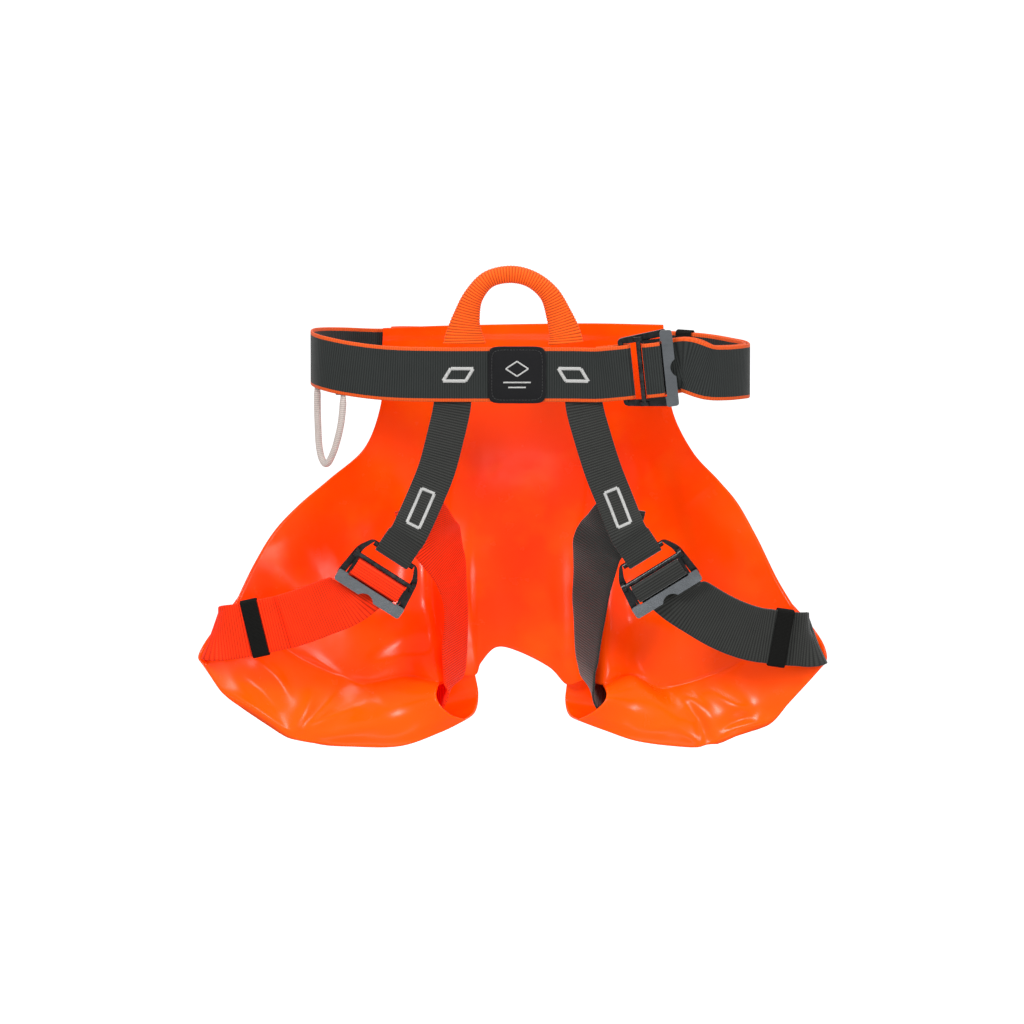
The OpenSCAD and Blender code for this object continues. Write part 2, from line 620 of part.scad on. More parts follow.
// An elastic ring at c round webbing that runs along t with its width along w; stack is the webbing's thickness
module keeper(c, t, w_hint, stack, shift) {
    a = unit(t);
    w = unit(w_hint - (w_hint * a) * a);
    n = cross(a, w);
    wall = 1.2;
    multmatrix([
        [a[0], w[0], n[0], c[0]], [a[1], w[1], n[1], c[1]], [a[2], w[2], n[2], c[2]], [0, 0, 0, 1]
    ])
    translate([0, 0, shift])
    rotate([90, 0, 90])
    translate([0, 0, -keeper_w / 2])
    linear_extrude(keeper_w)
    difference() {
        square([web_w + 2 * keeper_gap + 2 * wall, stack + 2 * keeper_gap + 2 * wall], center = true);
        square([web_w + 2 * keeper_gap, stack + 2 * keeper_gap], center = true);
    }
}
layer_step = 2.4;
module waist_keeper() color(black) keeper([139, 94, -75], [12, -6, 0], up, web_t + layer_step, -layer_step / 2);
module leg_keeper_left() color(black) keeper([-206, 1.5, -279], [16, -3, 4], up, web_t, 0);
module leg_keeper_right()
    color(black) keeper([215, 1.5, -286.75], [-14, -3, 2.5], [0.2, 0, 1], web_t + layer_step, -layer_step / 2);

// ---- which pieces are drawn ----

seat_sheet();
seat_tunnel_left();
seat_tunnel_right();
belt_sleeve();
waist_belt();
waist_tail();
waist_wrap();
waist_buckle_frame();
waist_buckle_slider();
label_patch();
tie_in_loop();
tie_in_tab_left();
tie_in_tab_right();
gear_loop();
gear_loop_tabs();
belt_bar_tacks();
riser_bar_tacks();
riser_left();
riser_right();
leg_strap_left();
leg_strap_right();
leg_wrap_left();
leg_wrap_right();
leg_buckle_frame_left();
leg_buckle_frame_right();
leg_buckle_slider_left();
leg_buckle_slider_right();
waist_keeper();
leg_tail_left();
leg_tail_right();
buckle_web_left();
buckle_web_right();
leg_keeper_left();
leg_keeper_right();
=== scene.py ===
import math

import bpy
import numpy as np
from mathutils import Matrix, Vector


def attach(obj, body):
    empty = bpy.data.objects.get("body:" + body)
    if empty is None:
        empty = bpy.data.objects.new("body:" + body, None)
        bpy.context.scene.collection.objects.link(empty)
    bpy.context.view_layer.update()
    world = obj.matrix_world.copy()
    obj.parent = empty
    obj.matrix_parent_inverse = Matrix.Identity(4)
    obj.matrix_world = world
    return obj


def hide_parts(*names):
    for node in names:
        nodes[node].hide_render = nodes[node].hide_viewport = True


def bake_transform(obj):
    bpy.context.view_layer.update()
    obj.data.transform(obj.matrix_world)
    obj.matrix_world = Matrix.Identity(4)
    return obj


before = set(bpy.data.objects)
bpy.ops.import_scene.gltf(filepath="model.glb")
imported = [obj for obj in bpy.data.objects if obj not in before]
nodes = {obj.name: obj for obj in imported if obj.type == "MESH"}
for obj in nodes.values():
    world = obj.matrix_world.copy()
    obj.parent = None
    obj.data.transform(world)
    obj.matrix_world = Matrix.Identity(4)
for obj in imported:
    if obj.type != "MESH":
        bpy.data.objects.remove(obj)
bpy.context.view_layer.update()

scene = bpy.context.scene

# ---- camera and studio ----

ELEVATION = math.radians(9)
DISTANCE = 10.0
FRAME_WIDTH = 0.8192
AIM = Vector((0, 0, -0.1847))
camera_data = bpy.data.cameras.new("camera")
camera = bpy.data.objects.new("camera", camera_data)
scene.collection.objects.link(camera)
back = Vector((0, -math.cos(ELEVATION), math.sin(ELEVATION)))
camera.location = AIM + back * DISTANCE
camera.rotation_mode = "QUATERNION"
camera.rotation_quaternion = back.to_track_quat("Z", "Y")
camera_data.sensor_width = 36
camera_data.lens = 36 * DISTANCE / FRAME_WIDTH
camera_data.clip_end = 200
scene.camera = camera
scene.view_settings.view_transform = "Standard"


MM = 0.001
WEB_W, WEB_T, RISER_W, RISER_T = 44, 1.8, 30, 1.6
LIP_FROM = 15  # where a slider's lip starts, along the webbing


# ---- node trees ----

def value_of(tree, node, name, value):
    socket = node.inputs[name]
    if isinstance(value, bpy.types.NodeSocket):
        tree.links.new(value, socket)
    else:
        socket.default_value = value


def add_node(tree, kind, inputs=None, **settings):
    node = tree.nodes.new(kind)
    for key, setting in settings.items():
        setattr(node, key, setting)
    for name, value in (inputs or {}).items():
        value_of(tree, node, name, value)
    return node


def calc(tree, operation, a, b=0.0, c=0.0):
    return add_node(tree, "ShaderNodeMath", {0: a, 1: b, 2: c}, operation=operation).outputs[0]


def mixed(tree, share, a, b):
    node = add_node(tree, "ShaderNodeMix", data_type="RGBA")
    value_of(tree, node, 0, share)
    value_of(tree, node, 6, a)
    value_of(tree, node, 7, b)
    return node.outputs[2]


def ranged(tree, value, low, high, to_low=0.0, to_high=1.0):
    return add_node(tree, "ShaderNodeMapRange", {0: value, 1: low, 2: high, 3: to_low, 4: to_high}).outputs[0]


def noise(tree, scale, detail=2.0, coords=None, rough=0.5):
    place = coords or add_node(tree, "ShaderNodeTexCoord").outputs["Object"]
    return add_node(tree, "ShaderNodeTexNoise", {"Vector": place, "Scale": scale, "Detail": detail,
                                                 "Roughness": rough}).outputs["Fac"]


def colour(r, g, b):
    """A display colour from 0 to 255 as linear light."""
    def line(c):
        c /= 255
        return c / 12.92 if c <= 0.04045 else ((c + 0.055) / 1.055) ** 2.4
    return (line(r), line(g), line(b), 1)


def scaled(c, k):
    return (c[0] * k, c[1] * k, c[2] * k, 1)


def new_material(name):
    material = bpy.data.materials.new(name)
    material.use_nodes = True
    tree = material.node_tree
    shader = tree.nodes["Principled BSDF"]
    return material, tree, shader


def bump(tree, shader, height, strength, distance, before=None):
    inputs = {"Height": height, "Strength": strength, "Distance": distance}
    if before is not None:
        inputs["Normal"] = before
    node = add_node(tree, "ShaderNodeBump", inputs)
    tree.links.new(node.outputs[0], shader.inputs["Normal"])
    return node.outputs[0]


def uv(tree):
    parts = add_node(tree, "ShaderNodeSeparateXYZ",
                     {0: add_node(tree, "ShaderNodeTexCoord").outputs["UV"]})
    return parts.outputs[0], parts.outputs[1]


EDGE_WIDTH, RIB_HEIGHT = 0.0028, 0.00035  # in metres


def woven(name, body, edge=None, rib=0.0015, yarn=0.0011, rough=0.62, depth=0.7, contrast=0.3, sheen=0.25):
    """Flat woven webbing: ribs across, warp yarns along, an optional coloured edge; rib valleys painted as
    shade, crests as highlight. UVs are metres.
    """
    material, tree, shader = new_material(name)
    u, v = uv(tree)

    def folded_sine(phase):
        return calc(tree, "ABSOLUTE", calc(tree, "SINE", phase))

    rib_wave = folded_sine(calc(tree, "MULTIPLY", u, math.pi / rib))
    row = calc(tree, "FLOOR", calc(tree, "DIVIDE", u, rib))
    shift = calc(tree, "MULTIPLY", calc(tree, "MODULO", row, 2), math.pi / 2)
    yarn_wave = folded_sine(calc(tree, "MULTIPLY_ADD", v, math.pi / yarn, shift))
    height = calc(tree, "MULTIPLY", rib_wave, calc(tree, "MULTIPLY_ADD", yarn_wave, 0.35, 0.65))
    worn = noise(tree, 90, 4)
    broad = noise(tree, 14, 2)
    # painted shade and highlight: rib valleys get a darker copy of the colour and rib crests a lighter one
    dark, light = scaled(body, 1 - contrast), scaled(body, 1 + contrast)
    tint = mixed(tree, height, dark, light)
    tint = mixed(tree, ranged(tree, worn, 0.35, 0.75, 0, 0.22), tint, scaled(body, 1.5))
    tint = mixed(tree, ranged(tree, broad, 0.3, 0.7, 0, 0.18), tint, scaled(body, 0.6))
    if edge:
        rim = calc(tree, "GREATER_THAN", calc(tree, "ABSOLUTE", v), WEB_W / 2 * MM - EDGE_WIDTH)
        # the coloured edge gets the same painted rib shade and highlight
        tint = mixed(tree, rim, tint, mixed(tree, height, scaled(edge, 0.8), edge))
    tree.links.new(tint, shader.inputs["Base Color"])
    tree.links.new(ranged(tree, height, 0, 1, rough + 0.12, rough - 0.06), shader.inputs["Roughness"])
    shader.inputs["Sheen Weight"].default_value = sheen
    shader.inputs["Sheen Roughness"].default_value = 0.45
    shader.inputs["Specular IOR Level"].default_value = 0.15
    bump(tree, shader, height, depth, RIB_HEIGHT)
    return material


LOW_Z, HIGH_Z = -0.355, -0.27  # painted highlight: the sheet is painted paler towards its lower edge, between these heights in metres


def coated(name, body, deep, pale, glow, rough):
    """Glossy coated sheet with soft colour drift, faint grain, scuffs and a painted highlight towards its
    lower edge.
    """
    material, tree, shader = new_material(name)
    drift = noise(tree, 7, 1.5)
    patch = noise(tree, 22, 3)
    tint = mixed(tree, ranged(tree, drift, 0.35, 0.65), body, deep)
    tint = mixed(tree, ranged(tree, patch, 0.52, 0.8, 0, 0.4), tint, pale)
    where = add_node(tree, "ShaderNodeTexCoord").outputs["Object"]
    place = add_node(tree, "ShaderNodeSeparateXYZ", {0: where})
    # painted highlight: the lower part of the sheet is painted paler, as if it were lit more brightly
    tint = mixed(tree, ranged(tree, place.outputs[2], LOW_Z, HIGH_Z, 0.55, 0), tint, pale)
    tree.links.new(tint, shader.inputs["Base Color"])
    scuff = noise(tree, 60, 4, rough=0.55)
    tree.links.new(ranged(tree, scuff, 0.3, 0.75, rough - 0.04, rough + 0.08), shader.inputs["Roughness"])
    shader.inputs["Specular IOR Level"].default_value = 0.17
    shader.inputs["Emission Color"].default_value = glow  # stands in for light through the thin sheet
    shader.inputs["Emission Strength"].default_value = 1.0
    creases = noise(tree, 30, 2, rough=0.5)
    first = bump(tree, shader, creases, 0.1, 0.004)
    bump(tree, shader, noise(tree, 1400, 2), 0.1, 0.0002, first)
    return material


def metal(name, body, rough, metallic, coat=0.0, lip=None, place=None, rubbed=0.1):
    """Anodised metal with fine grain and rubbed edges; a slider's lip, beyond its bar, may differ."""
    material, tree, shader = new_material(name)
    where = add_node(tree, "ShaderNodeTexCoord").outputs["Object"]
    stretched = add_node(tree, "ShaderNodeMapping", {"Vector": where, "Scale": (1, 1, 4)}).outputs[0]
    grain = noise(tree, 110, 2, coords=stretched)
    wear = noise(tree, 160, 5, rough=0.7)
    edge = add_node(tree, "ShaderNodeNewGeometry").outputs["Pointiness"]
    rub = calc(tree, "MULTIPLY", ranged(tree, edge, 0.52, 0.6, 0, rubbed), ranged(tree, wear, 0.4, 0.7))
    tint = mixed(tree, grain, scaled(body, 0.85), scaled(body, 1.15))
    if lip:
        (x, _, z), turn = place
        along = (math.cos(math.radians(turn)), 0, math.sin(math.radians(turn)))
        start = (x * along[0] + z * along[2]) * MM
        dot = add_node(tree, "ShaderNodeVectorMath", {0: where, 1: along}, operation="DOT_PRODUCT")
        share = ranged(tree, dot.outputs["Value"], start + LIP_FROM * MM, start + (LIP_FROM + 1) * MM)
        tint = mixed(tree, share, tint, mixed(tree, noise(tree, 45, 2), scaled(lip, 0.7), scaled(lip, 1.3)))
        tree.links.new(calc(tree, "MULTIPLY", share, metallic), shader.inputs["Metallic"])
    else:
        shader.inputs["Metallic"].default_value = metallic
    tint = mixed(tree, rub, tint, colour(150, 152, 155))
    tree.links.new(tint, shader.inputs["Base Color"])
    tree.links.new(ranged(tree, grain, 0.2, 0.8, rough - 0.04, rough + 0.06), shader.inputs["Roughness"])
    shader.inputs["Specular IOR Level"].default_value = 0.3
    shader.inputs["Coat Weight"].default_value = coat
    shader.inputs["Coat Roughness"].default_value = 0.12
    return material


def thread(name, body):
    """Sewing thread: a twist of fine strands, with painted shade in the grooves between them."""
    material, tree, shader = new_material(name)
    place = add_node(tree, "ShaderNodeTexCoord").outputs["Object"]
    twist = add_node(tree, "ShaderNodeTexWave", {"Vector": place, "Scale": 900.0, "Distortion": 1.5},
                     bands_direction="DIAGONAL").outputs["Fac"]
    # painted shade: the grooves between the strands are painted darker
    tree.links.new(mixed(tree, twist, scaled(body, 0.7), body), shader.inputs["Base Color"])
    shader.inputs["Roughness"].default_value = 0.7
    shader.inputs["Sheen Weight"].default_value = 0.2
    bump(tree, shader, twist, 0.4, 0.0002)
    return material


PVC = coated("pvc_orange", colour(255, 76, 0), colour(255, 58, 0), colour(255, 100, 0), colour(118, 14, 0),
             rough=0.22)
LEG_WEAVE = {"rib": 0.0021, "yarn": 0.0016, "depth": 1.0}
DARK_WEB = woven("webbing_dark_ribbed", colour(40, 41, 39), contrast=0.75, sheen=0.3, **LEG_WEAVE)
BELT_WEB = woven("webbing_dark_orange_edge", colour(37, 40, 39), edge=colour(222, 84, 24), sheen=0.15,
                 contrast=0.6, rib=0.0019)
RED_WEB = woven("webbing_red_orange", colour(250, 46, 0), contrast=0.5, sheen=0.04, **LEG_WEAVE)
LOOP_WEB = woven("webbing_orange_ribbed", colour(236, 84, 14), contrast=0.6, rib=0.0022, depth=1.0, sheen=0.1)
KEEPER_WEB = woven("elastic_black", colour(12, 12, 10), rib=0.0011, yarn=0.0016, depth=0.9, rough=0.75,
                   sheen=0.0)
LABEL = woven("label_black", colour(19, 19, 21), rib=0.0005, yarn=0.0005, depth=0.3, rough=0.6, contrast=0.2,
              sheen=0.08)
CORD_WEB = woven("gear_cord", colour(196, 184, 178), rib=0.0016, yarn=0.0012, depth=0.9, rough=0.55)
BLACK_METAL = metal("anodised_black", colour(5, 5, 6), 0.26, 0.0, coat=0.08, rubbed=0.05)
GREY_THREAD = thread("thread_light_grey", colour(205, 205, 203))
BLACK_THREAD = thread("thread_black", colour(30, 31, 31))


# ---- curves, in millimetres as in the CAD ----


def cubic(a, b, c, d, u):
    """The Catmull-Rom curve between b and c, at u from 0 to 1."""
    return 0.5 * (2 * b + (c - a) * u + (2 * a - 5 * b + 4 * c - d) * u * u
                  + (3 * b - a - 3 * c + d) * u ** 3)


def spline(points, steps):
    """The smooth curve through points, with steps between each two."""
    p = np.asarray(points, float)
    n = len(p) - 1
    out = []
    for i in range(n):
        a, b, c, d = p[max(i - 1, 0)], p[i], p[i + 1], p[min(i + 2, n)]
        for j in range(steps):
            out.append(cubic(a, b, c, d, j / steps))
    out.append(p[n])
    return np.array(out)


def spline_at(points, t):
    """Points at each t, from 0 to 1, on the smooth curve through points."""
    p = np.asarray(points, float)
    n = len(p) - 1
    f = np.clip(np.asarray(t, float) * n, 0, n - 1e-6)
    i = np.floor(f).astype(int)
    u = (f - i)[..., None]
    a, b, c, d = p[np.maximum(i - 1, 0)], p[i], p[i + 1], p[np.minimum(i + 2, n)]
    return cubic(a, b, c, d, u)


def unit(v):
    v = np.asarray(v, float)
    return v / np.maximum(np.linalg.norm(v, axis=-1, keepdims=True), 1e-12)


def tangents(c):
    t = np.empty_like(c)
    t[1:-1] = c[2:] - c[:-2]
    t[0], t[-1] = c[1] - c[0], c[-1] - c[-2]
    return unit(t)


SKEW_FADE = 0.12  # share of a ribbon end's free skew lost at each rib


def ribs_of(path, steps, skew=(0, 0), fade=SKEW_FADE):
    """Ribs of webbing along a path of x y z wx wy wz and perhaps a width share, as in the CAD.

    A rib is a centre and a width direction, square to the path except near an end with skew 1."""
    p = spline(path, steps)
    c, t = p[:, :3], tangents(p[:, :3])
    n = len(p)
    i = np.arange(n)
    from_start, from_end = np.maximum(0, 1 - i * fade), np.maximum(0, 1 - (n - 1 - i) * fade)
    k = np.minimum(1, from_start * skew[0] + from_end * skew[1])
    g = unit(p[:, 3:6])
    w = unit(g - (1 - k)[:, None] * (g * t).sum(1)[:, None] * t)
    if p.shape[1] > 6:
        w = w * p[:, 6:7]
    return np.hstack([c, w])


def run_length(c):
    """How far along the line of points each one is."""
    return np.concatenate([[0], np.cumsum(np.linalg.norm(np.diff(c, axis=0), axis=1))])


def mesh_object(name, verts, faces, uvs=None, material=None):
    mesh = bpy.data.meshes.new(name)
    corners = [tuple(int(k) for k in f) for f in faces]
    mesh.from_pydata([tuple(v) for v in np.asarray(verts, float)], [], corners)
    if uvs is not None:
        layer = mesh.uv_layers.new(name="UVMap")
        vertex = np.empty(len(mesh.loops), int)
        mesh.loops.foreach_get("vertex_index", vertex)
        layer.data.foreach_set("uv", np.asarray(uvs, float)[vertex].ravel())
    mesh.polygons.foreach_set("use_smooth", [True] * len(mesh.polygons))
    mesh.update()
    obj = bpy.data.objects.new(name, mesh)
    scene.collection.objects.link(obj)
    if material:
        mesh.materials.append(material)
    return obj


def tube_faces(rings, sides):
    """Faces of a closed skin over rings of points, with both ends closed."""
    faces = []
    for i in range(rings - 1):
        for j in range(sides):
            a, b = i * sides + j, i * sides + (j + 1) % sides
            faces.append((a, b, b + sides, a + sides))
    faces.append(tuple(range(sides))[::-1])
    faces.append(tuple((rings - 1) * sides + j for j in range(sides)))
    return faces


ACROSS = 14  # points across a band's face
ROUND = 4  # points round each of its edges


def profile(width, thick):
    """A flat band's section with round edges, as offsets across and through."""
    half, r = width / 2 - thick / 2, thick / 2
    turn = np.linspace(math.pi / 2, -math.pi / 2, ROUND + 2)[1:-1]
    front = [(x, r) for x in np.linspace(-half, half, ACROSS)]
    right = [(half + r * math.cos(a), r * math.sin(a)) for a in turn]
    rear = [(x, -r) for x in np.linspace(half, -half, ACROSS)]
    left = [(-half - r * math.cos(a), -r * math.sin(a)) for a in turn]
    return np.array(front + right + rear + left)


def ribbon(name, ribs, width, thick, material):
    """Webbing over ribs of x y z wx wy wz, in millimetres."""
    c, w = ribs[:, :3], ribs[:, 3:6]
    t = tangents(c)
    n = unit(np.cross(t, unit(w)))
    section = profile(width, thick)
    verts = (c[:, None] + w[:, None] * section[None, :, :1] + n[:, None] * section[None, :, 1:]) * MM
    length = run_length(c) * MM
    uvs = np.stack(np.broadcast_arrays(length[:, None], section[None, :, 0] * MM), axis=-1)
    faces = tube_faces(len(c), len(section))
    return mesh_object(name, verts.reshape(-1, 3), faces, uvs.reshape(-1, 2), material)


def band(name, path, width, thick, material):
    """Webbing or sheet along a path of points with width directions."""
    return ribbon(name, spline(ribs_of(path, 4), 2), width, thick, material)


def cord_tube(name, centres, across, through, ring_dir, sides, material, ribs=0.0, rib_step=1.6):
    """A round or oval cord; across and through are its half sizes in millimetres at each centre."""
    t = tangents(centres)
    w = unit(np.cross(ring_dir, t))
    n = unit(np.cross(t, w))
    length = run_length(centres)
    a = np.linspace(0, 2 * math.pi, sides, endpoint=False)
    swell = 1 + ribs * np.abs(np.sin(length * math.pi / rib_step))[:, None]
    wide = (across[:, None] * np.cos(a) * swell)[..., None]
    deep = (through[:, None] * np.sin(a) * swell)[..., None]
    verts = centres[:, None] + w[:, None] * wide + n[:, None] * deep
    around = (a * np.mean(across)) * MM
    uvs = np.stack(np.broadcast_arrays((length * MM)[:, None], around[None, :]), axis=-1)
    faces = tube_faces(len(centres), sides)
    return mesh_object(name, verts.reshape(-1, 3) * MM, faces, uvs.reshape(-1, 2), material)


def piece(obj, body, slot, *replaced):
    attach(obj, body)
    if replaced:
        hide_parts(*replaced)
    return obj


# ---- buckle places: origin, and turn about Y in degrees ----

WAIST = ((105, -6, -69), 6)
LEFT = ((-103, -24, -229), 237)
RIGHT = ((113, -24, -229), -58)
SEWN_U, SLOT_U, JOIN_U = -16, 14.2, 28  # along a buckle: sewn bar, slot, and where the leg strap joins
FRONT_N, BACK_N = -3, -5.6  # in front of a leg buckle's middle: its loose end and strap, both behind it
LEFT_DRIFT, RIGHT_DRIFT = -0.6, 0.4  # how the leg webbing leans across its buckle


def local(place, u, n, v=0.0):
    """A point u along, n in front of and v across a buckle."""
    at, turn = place
    c, s = math.cos(math.radians(turn)), math.sin(math.radians(turn))
    return [at[0] + u * c - v * s, at[1] - n, at[2] + u * s + v * c]


def across(place, side=1):
    turn = math.radians(place[1])
    return [-side * math.sin(turn), 0, side * math.cos(turn)]


def local_web(place, u, n, v=0.0):
    return local(place, u, n, v) + across(place)


UP = [0, 0, 1]

# ---- seat sheet ----

seat_left = [
    [-104, 98, -50], [-105, 98, -83], [-106, 97, -113], [-119, 92, -147], [-147, 84, -171],
    [-172, 74, -191], [-192, 63, -211], [-208, 50, -236], [-222, 37, -264]]
seat_right = [
    [122, 96, -47], [125, 97, -83], [130, 96, -119], [146, 88, -150], [166, 80, -171],
    [182, 72, -189], [198, 60, -216], [213, 46, -246], [227, 33, -268]]
seat_top = [[-104, 98, -50], [-59, 104, -49], [0, 106, -48], [64, 104, -47], [122, 96, -47]]
weld_left = [
    [-222, 37, -264], [-182, 50, -304], [-147, 58, -324], [-118, 62, -334], [-84, 60, -328], [-58, 42, -330]]
weld_right = [
    [227, 33, -268], [188, 48, -311], [152, 57, -330], [120, 61, -337], [94, 60, -328], [73, 42, -332]]
crotch = [[-30, 76, -330], [-25, 78, -320], [-13, 80, -308], [4, 81, -311], [30, 79, -324], [45, 76, -338]]
seat_bottom = weld_left + [[-46, 66, -329]] + crotch + [[60, 66, -332]] + weld_right[::-1]
fold_left = [
    [-247, 14, -311], [-233, 16, -333], [-214, 19, -346], [-197, 22, -358], [-178, 25, -372],
    [-158, 27, -376.5], [-134, 28, -379.5], [-91, 30, -380], [-58, 32, -369], [-38, 32, -359]]
fold_right = [
    [250, 14, -311], [238, 16, -325], [222, 18, -343], [209, 21, -358], [190, 23, -366],
    [159, 26, -378], [140, 28, -380], [102, 30, -376], [74, 32, -367], [53, 32, -359]]
tip_left = [[-222, 37, -264], [-230, 28, -284], [-238, 20, -299], [-247, 14, -311]]
tip_right = [[227, 33, -268], [235, 26, -284], [242, 19, -298], [250, 14, -311]]
mouth_left = [[-58, 42, -330], [-61, 26, -337], [-58, 21, -345], [-49, 24, -354], [-38, 32, -359]]
mouth_right = [[73, 42, -332], [76, 26, -337], [73, 21, -344], [63, 24, -353], [53, 32, -359]]
back_weld_left = [
    [-222, 40, -264], [-182, 53, -304], [-147, 61, -325], [-118, 66, -336], [-84, 70, -333], [-56, 76, -333],
    [-30, 79, -332]]
back_weld_right = [
    [227, 36, -268], [188, 51, -311], [152, 60, -331], [120, 65, -339], [94, 69, -334], [68, 76, -337],
    [45, 79, -340]]
back_tip_left = [[-222, 40, -264], [-236, 37, -280], [-247, 29, -293], [-252, 20, -304], [-247, 14, -311]]
back_tip_right = [[227, 36, -268], [240, 35, -280], [250, 28, -293], [253, 20, -304], [250, 14, -311]]
back_mouth_left = [[-30, 79, -332], [-27, 72, -344], [-30, 52, -354], [-38, 32, -359]]
back_mouth_right = [[45, 79, -340], [43, 70, -349], [46, 51, -356], [53, 32, -359]]
left_sides = (tip_left, mouth_left, weld_left, fold_left, back_tip_left, back_mouth_left, back_weld_left)
right_sides = (
    tip_right, mouth_right, weld_right, fold_right, back_tip_right, back_mouth_right, back_weld_right)
SEAT_BULGE, BULGE_START = 16, 0.2
TUNNEL_BULGE, TUNNEL_DROP = 12, 0.4
LAP_ROWS = 4  # how many seat rows the rear layer laps up behind the seat at its weld
LAP_STEP = 1.9  # and how far behind the seat it lies there
REAR_ROOM = 3  # how much further it stands off, to clear the webbing inside
LAP_BLEND = 5  # how close to the weld the rear layer starts to come in
LAP_SPANS = len(weld_left) + 1  # spans of the seat's lower edge from a tip to the notch
SHEET_T = 1.2


def patch_at(left, right, top, bottom, s, t, power=1):
    """Four boundary curves blended into a surface, at arrays s across and t down."""
    s, t = np.broadcast_arrays(np.asarray(s, float), np.asarray(t, float))
    k = t ** power
    s1, k1, t1 = s[..., None], k[..., None], t
    corners = [np.asarray(q, float) for q in (top[0], top[-1], bottom[0], bottom[-1])]
    return ((1 - s1) * spline_at(left, t1) + s1 * spline_at(right, t1)
            + (1 - k1) * spline_at(top, s) + k1 * spline_at(bottom, s)
            - (1 - s1) * (1 - k1) * corners[0] - s1 * (1 - k1) * corners[1]
            - (1 - s1) * k1 * corners[2] - s1 * k1 * corners[3])


COLUMNS_EACH = 12  # seat columns between two control points of its lower edge
ROWS = 150
TUNNEL_ROWS = 34
columns = COLUMNS_EACH * (len(seat_bottom) - 1)
tunnel_columns = COLUMNS_EACH * (len(weld_left) - 1)


def seat_grid():
    t = np.linspace(0, 1, ROWS + 1)[:, None]
    s = np.linspace(0, 1, columns + 1)[None, :]
    g = patch_at(seat_left, seat_right, seat_top, seat_bottom, s, t, 2)
    sag = np.sin(math.pi * s) * np.sin(math.pi * np.maximum(0, t - BULGE_START) / (1 - BULGE_START)) ** 2
    g[..., 1] += SEAT_BULGE * sag
    return g


def lap_row(row):
    """The rear layer's upper edge, spread along the seat from its tip to the notch."""
    f = np.linspace(0, COLUMNS_EACH * LAP_SPANS, tunnel_columns + 1)
    edge = np.stack([np.interp(f, np.arange(len(row)), row[:, k]) for k in range(3)], axis=1)
    return edge + [0, LAP_STEP, 0]


def tunnel_grid(sides, weld_row, rear_top):
    """Rows down the front from weld_row, the seat's own edge, to the fold, then up behind to rear_top."""
    tip, mouth, weld, fold, back_tip, back_mouth, back_weld = sides
    s = np.linspace(0, 1, tunnel_columns + 1)[None, :]
    t = np.linspace(0, 1, TUNNEL_ROWS + 1)[:, None]
    front = patch_at(tip, mouth, weld, fold, s, t)
    front += (weld_row - front[0]) * (1 - t)[..., None] ** 2
    t = t[::-1][1:]
    rear = patch_at(back_tip, back_mouth, back_weld, fold, s, t)
    puff = TUNNEL_BULGE * np.sin(math.pi * t)
    rear[..., 1] += puff + REAR_ROOM * np.sqrt(np.sin(math.pi * t))
    rear[..., 2] -= TUNNEL_DROP * puff
    rear += (rear_top - rear[-1]) * (1 - t)[..., None] ** LAP_BLEND
    return np.concatenate([front, rear])


seat = seat_grid()
lower_edge, lap_edge = seat[-1], seat[-1 - LAP_ROWS]
left_tunnel = tunnel_grid(left_sides, lower_edge[:tunnel_columns + 1], lap_row(lap_edge))
right_tunnel = tunnel_grid(right_sides, lower_edge[::-1][:tunnel_columns + 1], lap_row(lap_edge[::-1]))


def grid_faces(ids, turned=False):
    faces = []
    for i in range(ids.shape[0] - 1):
        for j in range(ids.shape[1] - 1):
            f = (ids[i, j], ids[i + 1, j], ids[i + 1, j + 1], ids[i, j + 1])
            faces.append(f[::-1] if turned else f)
    return faces


def sheet_mesh():
    verts = [seat.reshape(-1, 3)]
    ids = np.arange(seat.shape[0] * seat.shape[1]).reshape(seat.shape[:2])
    faces = grid_faces(ids)
    count = ids.size
    for grid, edge, turned in ((left_tunnel, ids[-1, :tunnel_columns + 1], False),
                               (right_tunnel, ids[-1, ::-1][:tunnel_columns + 1], True)):
        own = np.arange(count, count + (grid.shape[0] - 1) * grid.shape[1]).reshape(-1, grid.shape[1])
        verts.append(grid[1:].reshape(-1, 3))
        faces += grid_faces(np.vstack([edge[None], own]), turned)
        count += own.size
    return np.vstack(verts), faces


def vertex_normals(v, faces):
    f = np.array(faces)
    face_normal = np.cross(v[f[:, 2]] - v[f[:, 0]], v[f[:, 3]] - v[f[:, 1]])
    out = np.zeros_like(v)
    for k in range(4):
        np.add.at(out, f[:, k], face_normal)
    return unit(out)


def ridge(v, line, height, width, ends=True, crisp=False):
    """A fold along a line of (x, z) points, soft or with a crisp crest. It fades at its ends."""
    p = np.asarray(line, float)
    seg = np.diff(p, axis=0)
    lengths = np.linalg.norm(seg, axis=1)
    starts = np.concatenate([[0], np.cumsum(lengths)])
    x = v[:, [0, 2]]
    best, along = np.full(len(v), 1e9), np.zeros(len(v))
    for a, d, l, s0 in zip(p[:-1], seg, lengths, starts):
        k = np.clip(((x - a) @ d) / l ** 2, 0, 1)
        dist = np.linalg.norm(x - a - k[:, None] * d, axis=1)
        near = dist < best
        best = np.where(near, dist, best)
        along = np.where(near, (s0 + k * l) / starts[-1], along)
    fade = np.sin(math.pi * np.clip(along, 0.02, 0.98)) ** 0.7 if ends else 1
    shape = np.exp(-np.sqrt((best / width) ** 2 + 0.04) * 1.4) if crisp else np.exp(-(best / width) ** 2)
    return height * fade * shape


verts, faces = sheet_mesh()
normals = vertex_normals(verts, faces)
if normals[: (ROWS // 2) * columns, 1].mean() > 0:
    faces = [f[::-1] for f in faces]
    normals = -normals
front = normals[:, 1] < 0
lift = np.zeros(len(verts))
BACK_Y = 80  # the seat's sheet from here back is its upper part
HEM_Z, HEM_HEIGHT = -59, 0.7
REAR_FOLDS = -0.4  # a fold's height on the rear layer, for each millimetre in front
